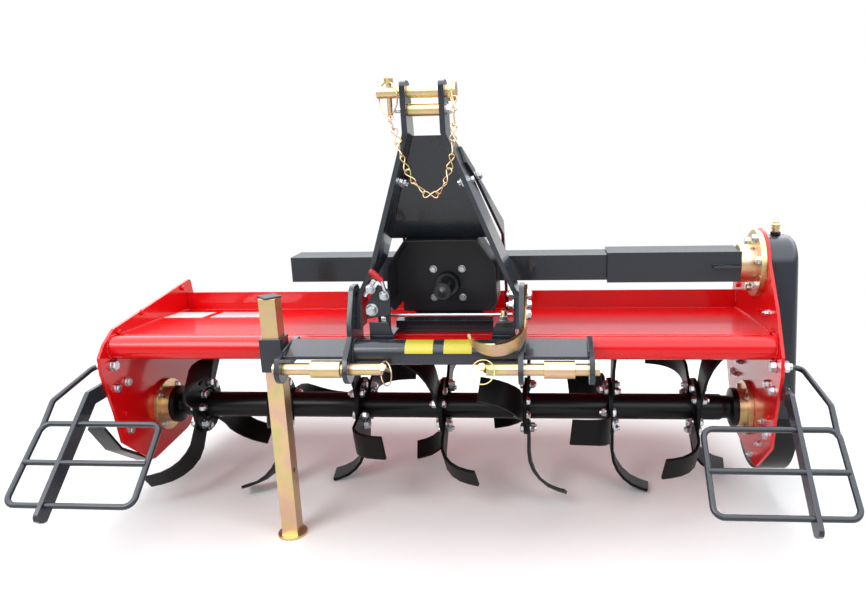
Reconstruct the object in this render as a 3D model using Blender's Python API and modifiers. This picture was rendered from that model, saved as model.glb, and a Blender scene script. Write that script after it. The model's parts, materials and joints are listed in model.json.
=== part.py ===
# Three-point-hitch rotary tiller with a side chain drive, parked on its stand leg.
# Metres, +Z up, +Y rearward.  X = 0 is the middle of the hood, Y = 0 is the line of the lower hitch
# pins.  At the end everything is shifted so that the floor is Z = 0 and the middle is at the origin.

import math

import bmesh
import bpy
from mathutils import Matrix, Vector

# Hitch, category 2
hitch_x = 0.024
pin_z = 0.443
mast_height = 0.610
top_pin_z = pin_z + mast_height
mast_top_x = 0.041
mast_knee_x = 0.153
mast_neck_x = 0.0546
mast_plate_thickness = 0.008
# Mast plate: how far its upper and lower edge lie below the top pin, and their y
mast_plate_edges = ((0.091, 0.070), (0.338, 0.195))
mast_thickness = 0.012
clevis_inner_x = 0.199
clevis_outer_x = 0.357
clevis_thickness = 0.012
clevis_end_radius = 0.034
lower_pin_radius = 0.014
top_pin_radius = 0.0127
top_pin_y = 0.030
running_gap = 0.0003
mast_foot_x = clevis_inner_x - (clevis_thickness + mast_thickness) / 2 - running_gap
hitch_tube_y = 0.045
hitch_tube_z = 0.470
hitch_tube_radius = 0.030
brace_foot_x = 0.135
brace_thickness = 0.008
brace_height = 0.036
brace_set_back = 0.010
brace_foot_length = 0.029
brace_foot_rise = 0.070
brace_middle_y = 0.375
# Braces beside the bar: how far below the top pin, and how far behind the bar's rear edge
brace_starts = ((0.153, -0.050), (0.203, 0.004))
# Lower pins: where they start from the hitch's middle, and their collars with another start and end
lower_pin_start = 0.120
lower_pin_past = 0.012
lower_collars = {"left": (0.215, 0.285), "right": (0.250, 0.320)}
lower_collar_radius = 0.0205
# Top pin: left end, start of its head and right end, from the hitch's middle
top_pin_ends = (-0.100, 0.053, 0.070)
top_pin_head_radius = 0.021
spacer_drop = 0.037
spacer_radius = 0.0135
hook_width = 0.040
hook_thickness = 0.0064
hook_radius = 0.064
hook_slope_deg = 33.0
hook_curl_deg = 195.0
hook_top = (0.107, 0.602)
hook_straight = 0.116

# Hood
half_width = 0.816
plate_thickness = 0.008
front_tube_y = 0.130
front_tube_z = 0.455
front_tube_radius = 0.030
deck_sheet = 0.004
deck_fold_y = 0.345
deck_fold_z = 0.4655
deck_rear_y = 0.515
deck_rear_z = 0.450
deck_lip_height = 0.058
skid_thickness = 0.008
skid_width = 0.045

# Rotor
rotor_y = 0.327
rotor_z = 0.2235
rotor_tube_radius = 0.035
flange_radius = 0.078
flange_thickness = 0.010
flange_count = 7
flange_inset = 0.132
flange_spacing = 2 * (half_width - flange_inset) / (flange_count - 1)
flange_middle_x = -0.011
flange_step_deg = 26.0
blade_thickness = 0.008
blade_root_width = 0.060
blade_bend_width = 0.074
blade_tip_width = 0.062
blade_tip_slant = 0.004
blade_root_radius = 0.042
blade_straight_radius = 0.122
blade_bend_radius = 0.105
blade_bend_deg = 75.0
blade_tip_length = 0.022
blade_sweep_deg = 16.0
# The third and the sixth set touch the floor, one as far behind the axis as the other before it
flange_first_deg = 45.0 + blade_sweep_deg - 3.5 * flange_step_deg
stub_radius = 0.020
neck_radius = 0.031
cup_radius = 0.052
cup_length = 0.014
bearing_flange_radius = 0.073
bearing_hub_radius = 0.050
bearing_flange_thickness = 0.012
bearing_hub_length = 0.018

# Drive
drive_y = 0.3075
drive_z = 0.6235
beam_depth = 0.083
beam_height = 0.065
beam_left_x = -0.389
sleeve_length = 0.332
sleeve_end_x = half_width - 0.053
sleeve_start_x = sleeve_end_x - sleeve_length
sleeve_wall = 0.006
drive_hub_radius = 0.048
drive_flange_radius = 0.085
drive_flange_thickness = 0.014
lobe_radius = 0.088
case_thickness = 0.075
case_top_radius = 0.072
case_bottom_radius = 0.152
case_edge_radius = 0.022
breather_radius = 0.011
breather_height = 0.034

# Gearbox and its guard
gearbox_half_width = 0.089
gearbox_front_y = 0.2660
gearbox_rear_y = 0.430
gearbox_top_z = 0.700
input_z = 0.586
input_radius = 0.0175
boss_radius = 0.030
boss_length = 0.028
cap_radius = 0.0215
cap_length = 0.067
cap_end_y = 0.163
shield_front_y = 0.155
shield_back_y = 0.2655
shield_sheet = 0.003
shield_back_z = 0.512
# Shield: right half of its fold line from the top down, x from the hitch's middle, and z
SHIELD_FOLD = ((0.088, 0.715), (0.133, 0.652), (0.135, 0.558), (0.120, 0.540))
crossbar_reach = 0.122
crossbar_set_back = 0.024
crossbar_depth = 0.036
crossbar_height = 0.030

# Stand
leg_x = -0.3652
leg_y = 0.050
leg_width = 0.040
leg_wall = 0.003
leg_top_z = 0.602
leg_hole_count = 2
leg_first_hole = 0.175
leg_hole_pitch = 0.300
leg_hole_radius = 0.0065
foot_radius = 0.036
foot_thickness = 0.006
socket_wall = 0.0055
socket_gap = 0.0005
socket_bottom_z = 0.425
socket_top_z = 0.506

# Rear board
board_hinge_y = 0.533
board_hinge_z = 0.456
board_rod_radius = 0.008
board_length = 0.300
board_drop_deg = 40.0
board_sheet = 0.004
board_side_gap = 0.008

# Guards at the front corners
guard_bar_radius = 0.007
guard_outer_x = half_width + 0.098
guard_inner_x = half_width - 0.192
guard_stem_x = half_width + 0.073
guard_arm_width = 0.0255
guard_arm_thickness = 0.008

FINISHES = {
    "red_enamel": (0.62, 0.012, 0.015, 0.30, 0.0),
    "grey_enamel": (0.045, 0.055, 0.070, 0.32, 0.0),
    "black_enamel": (0.012, 0.012, 0.014, 0.35, 0.0),
    "yellow_zinc": (0.72, 0.52, 0.22, 0.34, 1.0),
    "black_plastic": (0.015, 0.015, 0.015, 0.30, 0.0),
}


def clear_scene():
    for old in list(bpy.data.objects):
        bpy.data.objects.remove(old, do_unlink=True)


def make_finish(name):
    red, green, blue, roughness, metallic = FINISHES[name]
    finish = bpy.data.materials.new(name)
    finish.use_nodes = True
    shader = finish.node_tree.nodes["Principled BSDF"]
    shader.inputs["Base Color"].default_value = (red, green, blue, 1.0)
    shader.inputs["Roughness"].default_value = roughness
    shader.inputs["Metallic"].default_value = metallic
    return finish


clear_scene()
scene_root = bpy.context.scene.collection
tiller = bpy.data.collections.new("rotary_tiller")
scene_root.children.link(tiller)
finishes = {name: make_finish(name) for name in FINISHES}
middle = bpy.data.objects.new("machine_middle", None)
tiller.objects.link(middle)


def evaluated_mesh(shape):
    graph = bpy.context.evaluated_depsgraph_get()
    graph.update()
    return bpy.data.meshes.new_from_object(shape.evaluated_get(graph))


def shape_from_bmesh(bm, turn_out=True):
    if turn_out:
        bmesh.ops.recalc_face_normals(bm, faces=bm.faces)
    mesh = bpy.data.meshes.new("shape")
    bm.to_mesh(mesh)
    bm.free()
    shape = bpy.data.objects.new("shape", mesh)
    scene_root.objects.link(shape)
    return shape


def settle(shape, turn_out=True):
    """Replaces a shape with its evaluated mesh, its doubles merged and its place in the mesh."""
    mesh = evaluated_mesh(shape)
    mesh.transform(shape.matrix_world)
    bpy.data.objects.remove(shape, do_unlink=True)
    bm = bmesh.new()
    bm.from_mesh(mesh)
    bmesh.ops.triangulate(bm, faces=bm.faces)
    bmesh.ops.remove_doubles(bm, verts=bm.verts, dist=0.00001)
    return shape_from_bmesh(bm, turn_out)


def box(low, high):
    size = Vector(high) - Vector(low)
    centre = (Vector(high) + Vector(low)) / 2
    bm = bmesh.new()
    place = Matrix.Translation(centre) @ Matrix.Diagonal((*size, 1.0))
    bmesh.ops.create_cube(bm, size=1.0, matrix=place)
    return shape_from_bmesh(bm)


def rod(start, end, radius, sides=24):
    start, end = Vector(start), Vector(end)
    along = end - start
    turn = along.to_track_quat("Z", "Y").to_matrix().to_4x4()
    bm = bmesh.new()
    bmesh.ops.create_cone(
        bm, cap_ends=True, segments=sides, radius1=radius, radius2=radius, depth=along.length,
        matrix=Matrix.Translation((start + end) / 2) @ turn)
    return shape_from_bmesh(bm)


def plate(outlines, low, high, across):
    """A flat plate: closed outlines, the first the edge and the others holes, from low to high.

    across X takes outlines in (y, z), across Y in (x, z) and across Z in (x, y)."""
    curve = bpy.data.curves.new("outline", "CURVE")
    curve.dimensions = "2D"
    curve.fill_mode = "BOTH"
    curve.extrude = (high - low) / 2
    for outline in outlines:
        spline = curve.splines.new("POLY")
        spline.points.add(len(outline) - 1)
        for point, (u, v) in zip(spline.points, outline):
            point.co = (u, v, 0.0, 1.0)
        spline.use_cyclic_u = True
    shape = bpy.data.objects.new("outline", curve)
    scene_root.objects.link(shape)
    half = (low + high) / 2
    turns = {
        "X": Matrix(((0, 0, 1, half), (1, 0, 0, 0), (0, 1, 0, 0), (0, 0, 0, 1))),
        "Y": Matrix(((1, 0, 0, 0), (0, 0, -1, half), (0, 1, 0, 0), (0, 0, 0, 1))),
        "Z": Matrix(((1, 0, 0, 0), (0, 1, 0, 0), (0, 0, 1, half), (0, 0, 0, 1))),
    }
    shape.matrix_world = turns[across]
    bpy.context.view_layer.update()
    return settle(shape)


def tube(points, radius, closed=False):
    curve = bpy.data.curves.new("tube", "CURVE")
    curve.dimensions = "3D"
    curve.bevel_depth = radius
    curve.bevel_resolution = 2
    curve.use_fill_caps = True
    spline = curve.splines.new("POLY")
    spline.points.add(len(points) - 1)
    for point, place in zip(spline.points, points):
        point.co = (*place, 1.0)
    spline.use_cyclic_u = closed
    shape = bpy.data.objects.new("tube", curve)
    scene_root.objects.link(shape)
    return settle(shape)


def turned(profile, start, steps=32):
    """Turns a profile of (radius, x) points about the X axis line through start (y, z)."""
    mesh = bpy.data.meshes.new("profile")
    mesh.from_pydata([(r, 0.0, -x) for r, x in profile], [(i, i + 1) for i in range(len(profile) - 1)], [])
    shape = bpy.data.objects.new("profile", mesh)
    scene_root.objects.link(shape)
    screw = shape.modifiers.new("turn", "SCREW")
    screw.axis = "Z"
    screw.steps = steps
    screw.render_steps = steps
    screw.use_merge_vertices = True
    screw.merge_threshold = 0.00001
    y, z = start
    shape.matrix_world = Matrix.Translation((0.0, y, z)) @ Matrix.Rotation(math.radians(-90), 4, "Y")
    bpy.context.view_layer.update()
    return settle(shape)


def loft(rings):
    """Joins rings of like count in order and closes both ends."""
    bm = bmesh.new()
    rows = [[bm.verts.new(place) for place in ring] for ring in rings]
    count = len(rows[0])
    for one, two in zip(rows, rows[1:]):
        for i in range(count):
            j = (i + 1) % count
            bm.faces.new((one[i], one[j], two[j], two[i]))
    bm.faces.new(rows[0])
    bm.faces.new(rows[-1])
    return shape_from_bmesh(bm)


def joined(base, others, operation="UNION"):
    for other in others:
        change = base.modifiers.new("join", "BOOLEAN")
        change.operation = operation
        change.solver = "EXACT"
        change.object = other
        base = settle(base, turn_out=False)
        bpy.data.objects.remove(other, do_unlink=True)
    return base


def together(shapes):
    """One object of shapes that don't touch, such as a row of cutters."""
    bm = bmesh.new()
    for shape in shapes:
        bm.from_mesh(shape.data)
        bpy.data.objects.remove(shape, do_unlink=True)
    return shape_from_bmesh(bm, turn_out=False)


def cut(base, *cutters):
    return joined(base, cutters, "DIFFERENCE")


def arc(centre, radius, start_deg, end_deg, steps=8):
    u, v = centre
    angles = [math.radians(start_deg + (end_deg - start_deg) * i / steps) for i in range(steps + 1)]
    return [(u + radius * math.cos(a), v + radius * math.sin(a)) for a in angles]


def circle(centre, radius, steps=24):
    return arc(centre, radius, 0.0, 360.0, steps)[:-1]


def belt(low, low_radius, high, high_radius, steps=14):
    """The outline round two circles, the low one first, with straight flanks."""
    along = Vector(high) - Vector(low)
    lean = math.degrees(math.atan2(along.y, along.x))
    flank = math.degrees(math.acos((low_radius - high_radius) / along.length))
    return (arc(high, high_radius, lean - flank, lean + flank, steps)
            + arc(low, low_radius, lean + flank, lean + 360.0 - flank, steps))


def filleted(corners, steps=4):
    """Rounds the corners of a closed outline of (u, v, radius)."""
    outline = []
    count = len(corners)
    for i, (u, v, radius) in enumerate(corners):
        here = Vector((u, v))
        if radius == 0:
            outline.append((u, v))
            continue
        before = (Vector(corners[i - 1][:2]) - here).normalized()
        after = (Vector(corners[(i + 1) % count][:2]) - here).normalized()
        half = before.angle(after) / 2
        reach = radius / math.tan(half)
        centre = here + (before + after).normalized() * (radius / math.sin(half))
        first = here + before * reach - centre
        sweep = (math.pi - 2 * half) * (1 if before.x * after.y - before.y * after.x < 0 else -1)
        for k in range(steps + 1):
            turn = sweep * k / steps
            c, s = math.cos(turn), math.sin(turn)
            outline.append((centre.x + c * first.x - s * first.y, centre.y + s * first.x + c * first.y))
    return outline


def rounded_path(points, radius, steps=4, closed=False):
    """Rounds the inner corners of a path in space."""
    path = []
    last = len(points) - 1
    for i, place in enumerate(points):
        here = Vector(place)
        if not closed and i in (0, last):
            path.append(here)
            continue
        before = (Vector(points[i - 1]) - here).normalized()
        after = (Vector(points[(i + 1) % (last + 1)]) - here).normalized()
        half = before.angle(after) / 2
        reach = radius / math.tan(half)
        centre = here + (before + after).normalized() * (radius / math.sin(half))
        one, two = here + before * reach - centre, here + after * reach - centre
        for k in range(steps + 1):
            path.append(centre + one.slerp(two, k / steps).normalized() * radius)
    return path


def sheet(points, thickness):
    """The outline of a folded sheet: its folds, then the same line one thickness to the left."""
    points = [Vector(p) for p in points]
    ways = [(b - a).normalized() for a, b in zip(points, points[1:])]
    lefts = [Vector((-w.y, w.x)) for w in ways]
    other = [points[0] + lefts[0] * thickness]
    for i in range(1, len(points) - 1):
        mitre = (lefts[i - 1] + lefts[i]).normalized()
        other.append(points[i] + mitre * (thickness / mitre.dot(lefts[i])))
    other.append(points[-1] + lefts[-1] * thickness)
    return [tuple(p) for p in points + other[::-1]]


def moved(shape, matrix):
    shape.data.transform(matrix)
    if matrix.determinant() < 0:
        shape.data.flip_normals()
    return shape


def mirrored(shape, about_x=0.0):
    """A copy on the other side of the plane X = about_x."""
    twin = bpy.data.objects.new("twin", shape.data.copy())
    scene_root.objects.link(twin)
    flip = Matrix.Translation((2 * about_x, 0, 0)) @ Matrix.Diagonal((-1, 1, 1, 1))
    return moved(twin, flip)


def node(name, shape, finish, parent=None):
    shape.name = name
    shape.data.name = name
    shape.data.materials.clear()
    shape.data.materials.append(finishes[finish])
    scene_root.objects.unlink(shape)
    tiller.objects.link(shape)
    shape.data.shade_smooth()
    shape.data.set_sharp_from_angle(angle=math.radians(35))
    parent = parent or middle
    if parent is not middle:
        shape.data.transform(Matrix.Translation(-parent.location))
    shape.parent = parent
    return shape


def axis_empty(name, place):
    empty = bpy.data.objects.new(name, None)
    empty.location = place
    empty.parent = middle
    tiller.objects.link(empty)
    return empty


deck_front = (front_tube_y + (front_tube_radius + running_gap) * math.cos(math.radians(48)),
              front_tube_z + (front_tube_radius + running_gap) * math.sin(math.radians(48)))
deck_line = (deck_front, (deck_fold_y, deck_fold_z), (deck_rear_y, deck_rear_z))


def deck_top(y):
    """Height of the deck's upper face, which folds once on its way to the rear."""
    for (y1, z1), (y2, z2) in zip(deck_line, deck_line[1:]):
        slope = (z2 - z1) / (y2 - y1)
        if y <= y2:
            break
    return z1 + (y - y1) * slope + deck_sheet * math.hypot(1.0, slope)


def build_hood():
    inside = half_width - running_gap
    tube_shape = rod((-inside, front_tube_y, front_tube_z), (inside, front_tube_y, front_tube_z),
                     front_tube_radius, 32)
    node("front_tube", tube_shape, "red_enamel")
    lip_top = (deck_rear_y, deck_rear_z + deck_lip_height)
    outline = sheet([*deck_line, lip_top], deck_sheet)
    node("deck", plate([outline], -inside, inside, "X"), "red_enamel")

    # Side plates: corners of (y, z, fillet radius), from the nose round the top, rear and tip
    low_edge = [(0.591, 0.290, 0.020), (0.543, 0.215, 0.0), (0.437, 0.108, 0.060), (0.226, 0.095, 0.050),
                (0.107, 0.204, 0.0), (0.094, 0.290, 0.0), (0.066, 0.402, 0.010)]
    left_top = [(0.066, 0.445, 0.010), (0.094, 0.474, 0.010), (0.139, 0.500, 0.010), (0.545, 0.545, 0.012)]
    right_top = ([(0.070, 0.448, 0.010), (0.134, 0.545, 0.0)]
                 + [(y, z, 0.0) for y, z in arc((drive_y, drive_z), lobe_radius, 165.0, 25.0, 10)]
                 + [(0.420, 0.575, 0.030), (0.548, 0.545, 0.012)])
    hub_hole = circle((rotor_y, rotor_z), bearing_hub_radius + 0.004)
    outside = half_width + plate_thickness
    left = plate([filleted(left_top + low_edge), hub_hole], -outside, -half_width, "X")
    node("side_plate_left", left, "red_enamel")
    right = plate([filleted(right_top + low_edge), hub_hole], half_width, outside, "X")
    node("side_plate_right", right, "red_enamel")

    skid_line = [(0.060, 0.268), (0.114, 0.188), (0.232, 0.102), (0.430, 0.115), (0.505, 0.190)]
    left_skid = plate([sheet(skid_line, -skid_thickness)], -outside - skid_width, -outside - running_gap, "X")
    node("skid_left", left_skid, "black_enamel")
    facet = math.cos(math.radians(155.0 / 20 / 2))
    under = arc((rotor_y, rotor_z), (case_bottom_radius + running_gap) / facet, 170.0, 325.0, 20)
    right_skid = plate([sheet(under, -skid_thickness)], outside + running_gap, outside + case_thickness, "X")
    node("skid_right", right_skid, "black_enamel")


def bearing(name, side):
    """A flanged bearing housing on the inner face of a side plate, open for the rotor's stub."""
    face = half_width - running_gap
    bore = stub_radius + 0.0005
    hub_end = face - bearing_flange_thickness - bearing_hub_length
    profile = [(bore, face), (bearing_flange_radius, face),
               (bearing_flange_radius, face - bearing_flange_thickness),
               (bearing_hub_radius, face - bearing_flange_thickness),
               (bearing_hub_radius, hub_end), (bore, hub_end), (bore, face)]
    shape = turned([(r, side * x) for r, x in profile], (rotor_y, rotor_z))
    node(name, shape, "yellow_zinc")
    return hub_end


def build_rotor():
    spin = axis_empty("rotor_axis", (0.0, rotor_y, rotor_z))
    cup_start = half_width - running_gap - bearing_flange_thickness - bearing_hub_length - 0.0015
    cup_end = cup_start - cup_length
    neck_end = cup_end - 0.022
    stub_end = half_width - 0.004
    half = [(stub_radius, stub_end), (stub_radius, cup_start), (cup_radius, cup_start),
            (cup_radius, cup_end), (neck_radius, cup_end - 0.006), (neck_radius, neck_end),
            (rotor_tube_radius, neck_end - 0.008)]
    profile = ([(0.0, -stub_end)] + [(r, -x) for r, x in half] + [(r, x) for r, x in half[::-1]]
               + [(0.0, stub_end)])
    node("rotor_shaft", turned(profile, (rotor_y, rotor_z)), "black_enamel", spin)
    first_x = flange_middle_x - flange_spacing * (flange_count - 1) / 2
    for i in range(flange_count):
        shape = tine_set(first_x + flange_spacing * i, flange_first_deg + flange_step_deg * i)
        node(f"tine_set_{i + 1}", shape, "black_enamel", spin)
    return spin


def blade(x, angle_deg, side):
    """A curved blade: a strip that leaves the flange radially and bends over towards one side."""
    bend = math.radians(blade_bend_deg)
    steps = 5
    line = [(0.0, blade_root_radius, 0.0), (0.0, blade_straight_radius, 0.0)]
    for k in range(1, steps + 1):
        turn = bend * k / steps
        line.append((blade_bend_radius * (1 - math.cos(turn)),
                     blade_straight_radius + blade_bend_radius * math.sin(turn), turn))
    reach, radius, turn = line[-1]
    line.append((reach + blade_tip_length * math.sin(bend), radius + blade_tip_length * math.cos(bend), bend))
    seat = flange_thickness / 2 + blade_thickness / 2 - 0.0005
    outer = line[-1][1]
    rings = []
    for reach, radius, turn in line:
        share = max(0.0, (radius - flange_radius) / (outer - flange_radius))
        if share < 0.5:
            width = blade_root_width + (blade_bend_width - blade_root_width) * share / 0.5
        else:
            width = blade_bend_width + (blade_tip_width - blade_bend_width) * (share - 0.5) / 0.5
        angle = math.radians(angle_deg - blade_sweep_deg * share)
        out = Vector((0.0, math.sin(angle), -math.cos(angle)))
        round_way = Vector((0.0, math.cos(angle), math.sin(angle)))
        sideways = Vector((side, 0.0, 0.0))
        centre = Vector((x, rotor_y, rotor_z)) + sideways * (seat + reach) + out * radius
        normal = sideways * math.cos(turn) - out * math.sin(turn)
        wide = round_way * width / 2
        thick = normal * blade_thickness / 2
        if share == 1.0:
            wide += (sideways * math.sin(turn) + out * math.cos(turn)) * blade_tip_slant
        rings.append([centre + wide + thick, centre - wide + thick, centre - wide - thick,
                      centre + wide - thick])
    return loft(rings)


def tine_set(x, phase_deg):
    disc = plate([circle((rotor_y, rotor_z), flange_radius, 32),
                  circle((rotor_y, rotor_z), rotor_tube_radius + running_gap, 32)],
                 x - flange_thickness / 2, x + flange_thickness / 2, "X")
    blades = [blade(x, phase_deg + 90.0 * k, 1 if k % 2 else -1) for k in range(4)]
    return joined(disc, blades)


def build_drive():
    def beam(start, end, grow=0.0):
        return box((start, drive_y - beam_depth / 2 - grow, drive_z - beam_height / 2 - grow),
                   (end, drive_y + beam_depth / 2 + grow, drive_z + beam_height / 2 + grow))

    side = hitch_x + gearbox_half_width + running_gap
    far_side = hitch_x - gearbox_half_width - running_gap
    node("drive_beam_left", beam(beam_left_x, far_side), "grey_enamel")
    node("drive_beam_right", beam(side, sleeve_start_x - running_gap), "grey_enamel")
    sleeve = beam(sleeve_start_x, sleeve_end_x, sleeve_wall)
    node("drive_sleeve", sleeve, "grey_enamel")
    face = half_width - running_gap
    disc_start = face - drive_flange_thickness
    profile = [(0.0, sleeve_end_x + running_gap), (drive_hub_radius, sleeve_end_x + running_gap),
               (drive_hub_radius, disc_start), (drive_flange_radius, disc_start),
               (drive_flange_radius, face), (0.0, face)]
    node("drive_flange", turned(profile, (drive_y, drive_z), 40), "yellow_zinc")

    outside = half_width + plate_thickness + running_gap
    rings = []
    for x, smaller in [(outside, 0.0)] + [
            (outside + case_thickness - case_edge_radius * (1 - math.sin(math.radians(turn))),
             case_edge_radius * (1 - math.cos(math.radians(turn)))) for turn in (0, 30, 60, 90)]:
        outline = belt((rotor_y, rotor_z), case_bottom_radius - smaller,
                       (drive_y, drive_z), case_top_radius - smaller)
        rings.append([(x, y, z) for y, z in outline])
    node("chain_case", loft(rings), "grey_enamel")
    case_top = drive_z + case_top_radius
    breather_x = outside + 0.030
    breather = rod((breather_x, drive_y, case_top + running_gap),
                   (breather_x, drive_y, case_top + breather_height), breather_radius, 16)
    node("case_breather", breather, "yellow_zinc")


def build_gearbox():
    outline = filleted([(gearbox_front_y, deck_top(gearbox_front_y) + running_gap, 0.0),
                        (deck_fold_y, deck_top(deck_fold_y) + running_gap, 0.0),
                        (gearbox_rear_y, deck_top(gearbox_rear_y) + running_gap, 0.0),
                        (gearbox_rear_y, gearbox_top_z - 0.03, 0.0),
                        (gearbox_rear_y - 0.03, gearbox_top_z, 0.0),
                        (gearbox_front_y + 0.012, gearbox_top_z, 0.0),
                        (gearbox_front_y, gearbox_top_z - 0.012, 0.0)])
    block = plate([outline], hitch_x - gearbox_half_width, hitch_x + gearbox_half_width, "X")
    boss_end = gearbox_front_y - boss_length
    boss = rod((hitch_x, gearbox_front_y + 0.002, input_z), (hitch_x, boss_end, input_z), boss_radius)
    socket = rod((hitch_x, gearbox_front_y + 0.020, input_z), (hitch_x, boss_end - 0.01, input_z),
                 input_radius + 0.0005)
    node("gearbox", cut(joined(block, [boss]), socket), "grey_enamel")

    spin = axis_empty("input_axis", (hitch_x, 0.0, input_z))
    cap_start = cap_end_y + cap_length
    shaft = rod((hitch_x, cap_start + running_gap, input_z), (hitch_x, gearbox_front_y + 0.015, input_z),
                input_radius)
    node("input_shaft", shaft, "black_enamel", spin)
    cap = rod((hitch_x, cap_end_y, input_z), (hitch_x, cap_start, input_z), cap_radius)
    node("input_cap", cap, "black_plastic", spin)

    fold = [(hitch_x + x, z) for x, z in SHIELD_FOLD[::-1]] + [(hitch_x - x, z) for x, z in SHIELD_FOLD]
    hood = plate([sheet(fold, shield_sheet)], shield_front_y, shield_back_y, "Y")
    (low_x, low_z), (high_x, high_z) = fold[0], fold[-1]
    back_line = [(low_x, shield_back_z), *fold, (high_x, shield_back_z)]
    back = plate([back_line, circle((hitch_x, input_z), boss_radius + 0.002)],
                 shield_back_y - shield_sheet, shield_back_y, "Y")
    node("pto_shield", joined(hood, [back]), "black_enamel")

    bar_y = deck_front[0] + crossbar_set_back
    bar_z = deck_top(bar_y) + running_gap
    bar = box((hitch_x - crossbar_reach, bar_y, bar_z),
              (hitch_x + crossbar_reach, bar_y + crossbar_depth, bar_z + crossbar_height))
    node("gearbox_crossbar", bar, "grey_enamel")


# Hitch plates seen from the side, y and z: corners after the round end, back, up and to the front again
INNER_CLEVIS = ((0.060, 0.436), (0.128, 0.440), (0.128, 0.560), (0.122, 0.606), (0.108, 0.620),
                (0.078, 0.622), (0.064, 0.612), (0.030, 0.545), (0.026, 0.512), (-0.022, 0.476))
OUTER_CLEVIS = ((0.070, 0.436), (0.128, 0.440), (0.128, 0.470), (0.118, 0.4875), (-0.022, 0.474))
CLEVIS_BAR = ((0.000, 0.4655), (0.062, 0.4665), (0.068, 0.496), (0.000, 0.4735))


def build_hitch():
    inner_face = clevis_inner_x - clevis_thickness / 2
    half = inner_face - running_gap
    tube_shape = rod((hitch_x - half, hitch_tube_y, hitch_tube_z),
                     (hitch_x + half, hitch_tube_y, hitch_tube_z), hitch_tube_radius, 32)
    node("hitch_tube", tube_shape, "grey_enamel")
    for side, word in ((-1, "left"), (1, "right")):
        for reach, corners, place in ((clevis_inner_x, INNER_CLEVIS, "inner"),
                                      (clevis_outer_x, OUTER_CLEVIS, "outer")):
            centre = hitch_x + side * reach
            outline = arc((0.0, pin_z), clevis_end_radius, 175.0, 300.0, 8) + list(corners)
            shape = plate([outline, circle((0.0, pin_z), lower_pin_radius + running_gap)],
                          centre - clevis_thickness / 2, centre + clevis_thickness / 2, "X")
            notch = rod((centre - 0.02, front_tube_y, front_tube_z),
                        (centre + 0.02, front_tube_y, front_tube_z), front_tube_radius + running_gap, 32)
            node(f"clevis_{place}_{word}", cut(shape, notch), "grey_enamel")
        near = hitch_x + side * (clevis_inner_x + clevis_thickness / 2 + running_gap)
        far = hitch_x + side * (clevis_outer_x - clevis_thickness / 2 - running_gap)
        bar = plate([list(CLEVIS_BAR)], min(near, far), max(near, far), "X")
        node(f"clevis_bar_{word}", bar, "grey_enamel")
        lower_pin(side, word)


def lower_pin(side, word):
    outer_end = clevis_outer_x + clevis_thickness / 2 + lower_pin_past
    near, far = lower_collars[word]
    profile = [(0.0, lower_pin_start), (lower_pin_radius, lower_pin_start), (lower_pin_radius, near),
               (lower_collar_radius, near), (lower_collar_radius, far), (lower_pin_radius, far),
               (lower_pin_radius, outer_end), (0.0, outer_end)]
    shape = turned([(r, hitch_x + side * x) for r, x in profile], (0.0, pin_z))
    node(f"lower_pin_{word}", shape, "yellow_zinc")


# Mast bars: height, distance from the hitch's middle, front and rear edge
MAST_STATIONS = (
    (top_pin_z + 0.024, mast_top_x, 0.018, 0.044),
    (top_pin_z + 0.019, mast_top_x, 0.006, 0.056),
    (top_pin_z + 0.010, mast_top_x, 0.000, 0.062),
    (top_pin_z - 0.086, mast_top_x, 0.008, 0.085),
    (top_pin_z - 0.123, mast_neck_x, 0.018, 0.140),
    (pin_z + 0.219, mast_knee_x, 0.095, 0.232),
    (pin_z + 0.150, mast_foot_x, 0.082, 0.150),
    (pin_z + 0.077, mast_foot_x, 0.062, 0.122),
)


def mast_at(z):
    for (z1, x1, f1, r1), (z2, x2, f2, r2) in zip(MAST_STATIONS, MAST_STATIONS[1:]):
        if z2 <= z <= z1:
            share = (z1 - z) / (z1 - z2)
            return [a + (b - a) * share for a, b in ((x1, x2), (f1, f2), (r1, r2))]
    raise ValueError("height off the mast")


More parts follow.
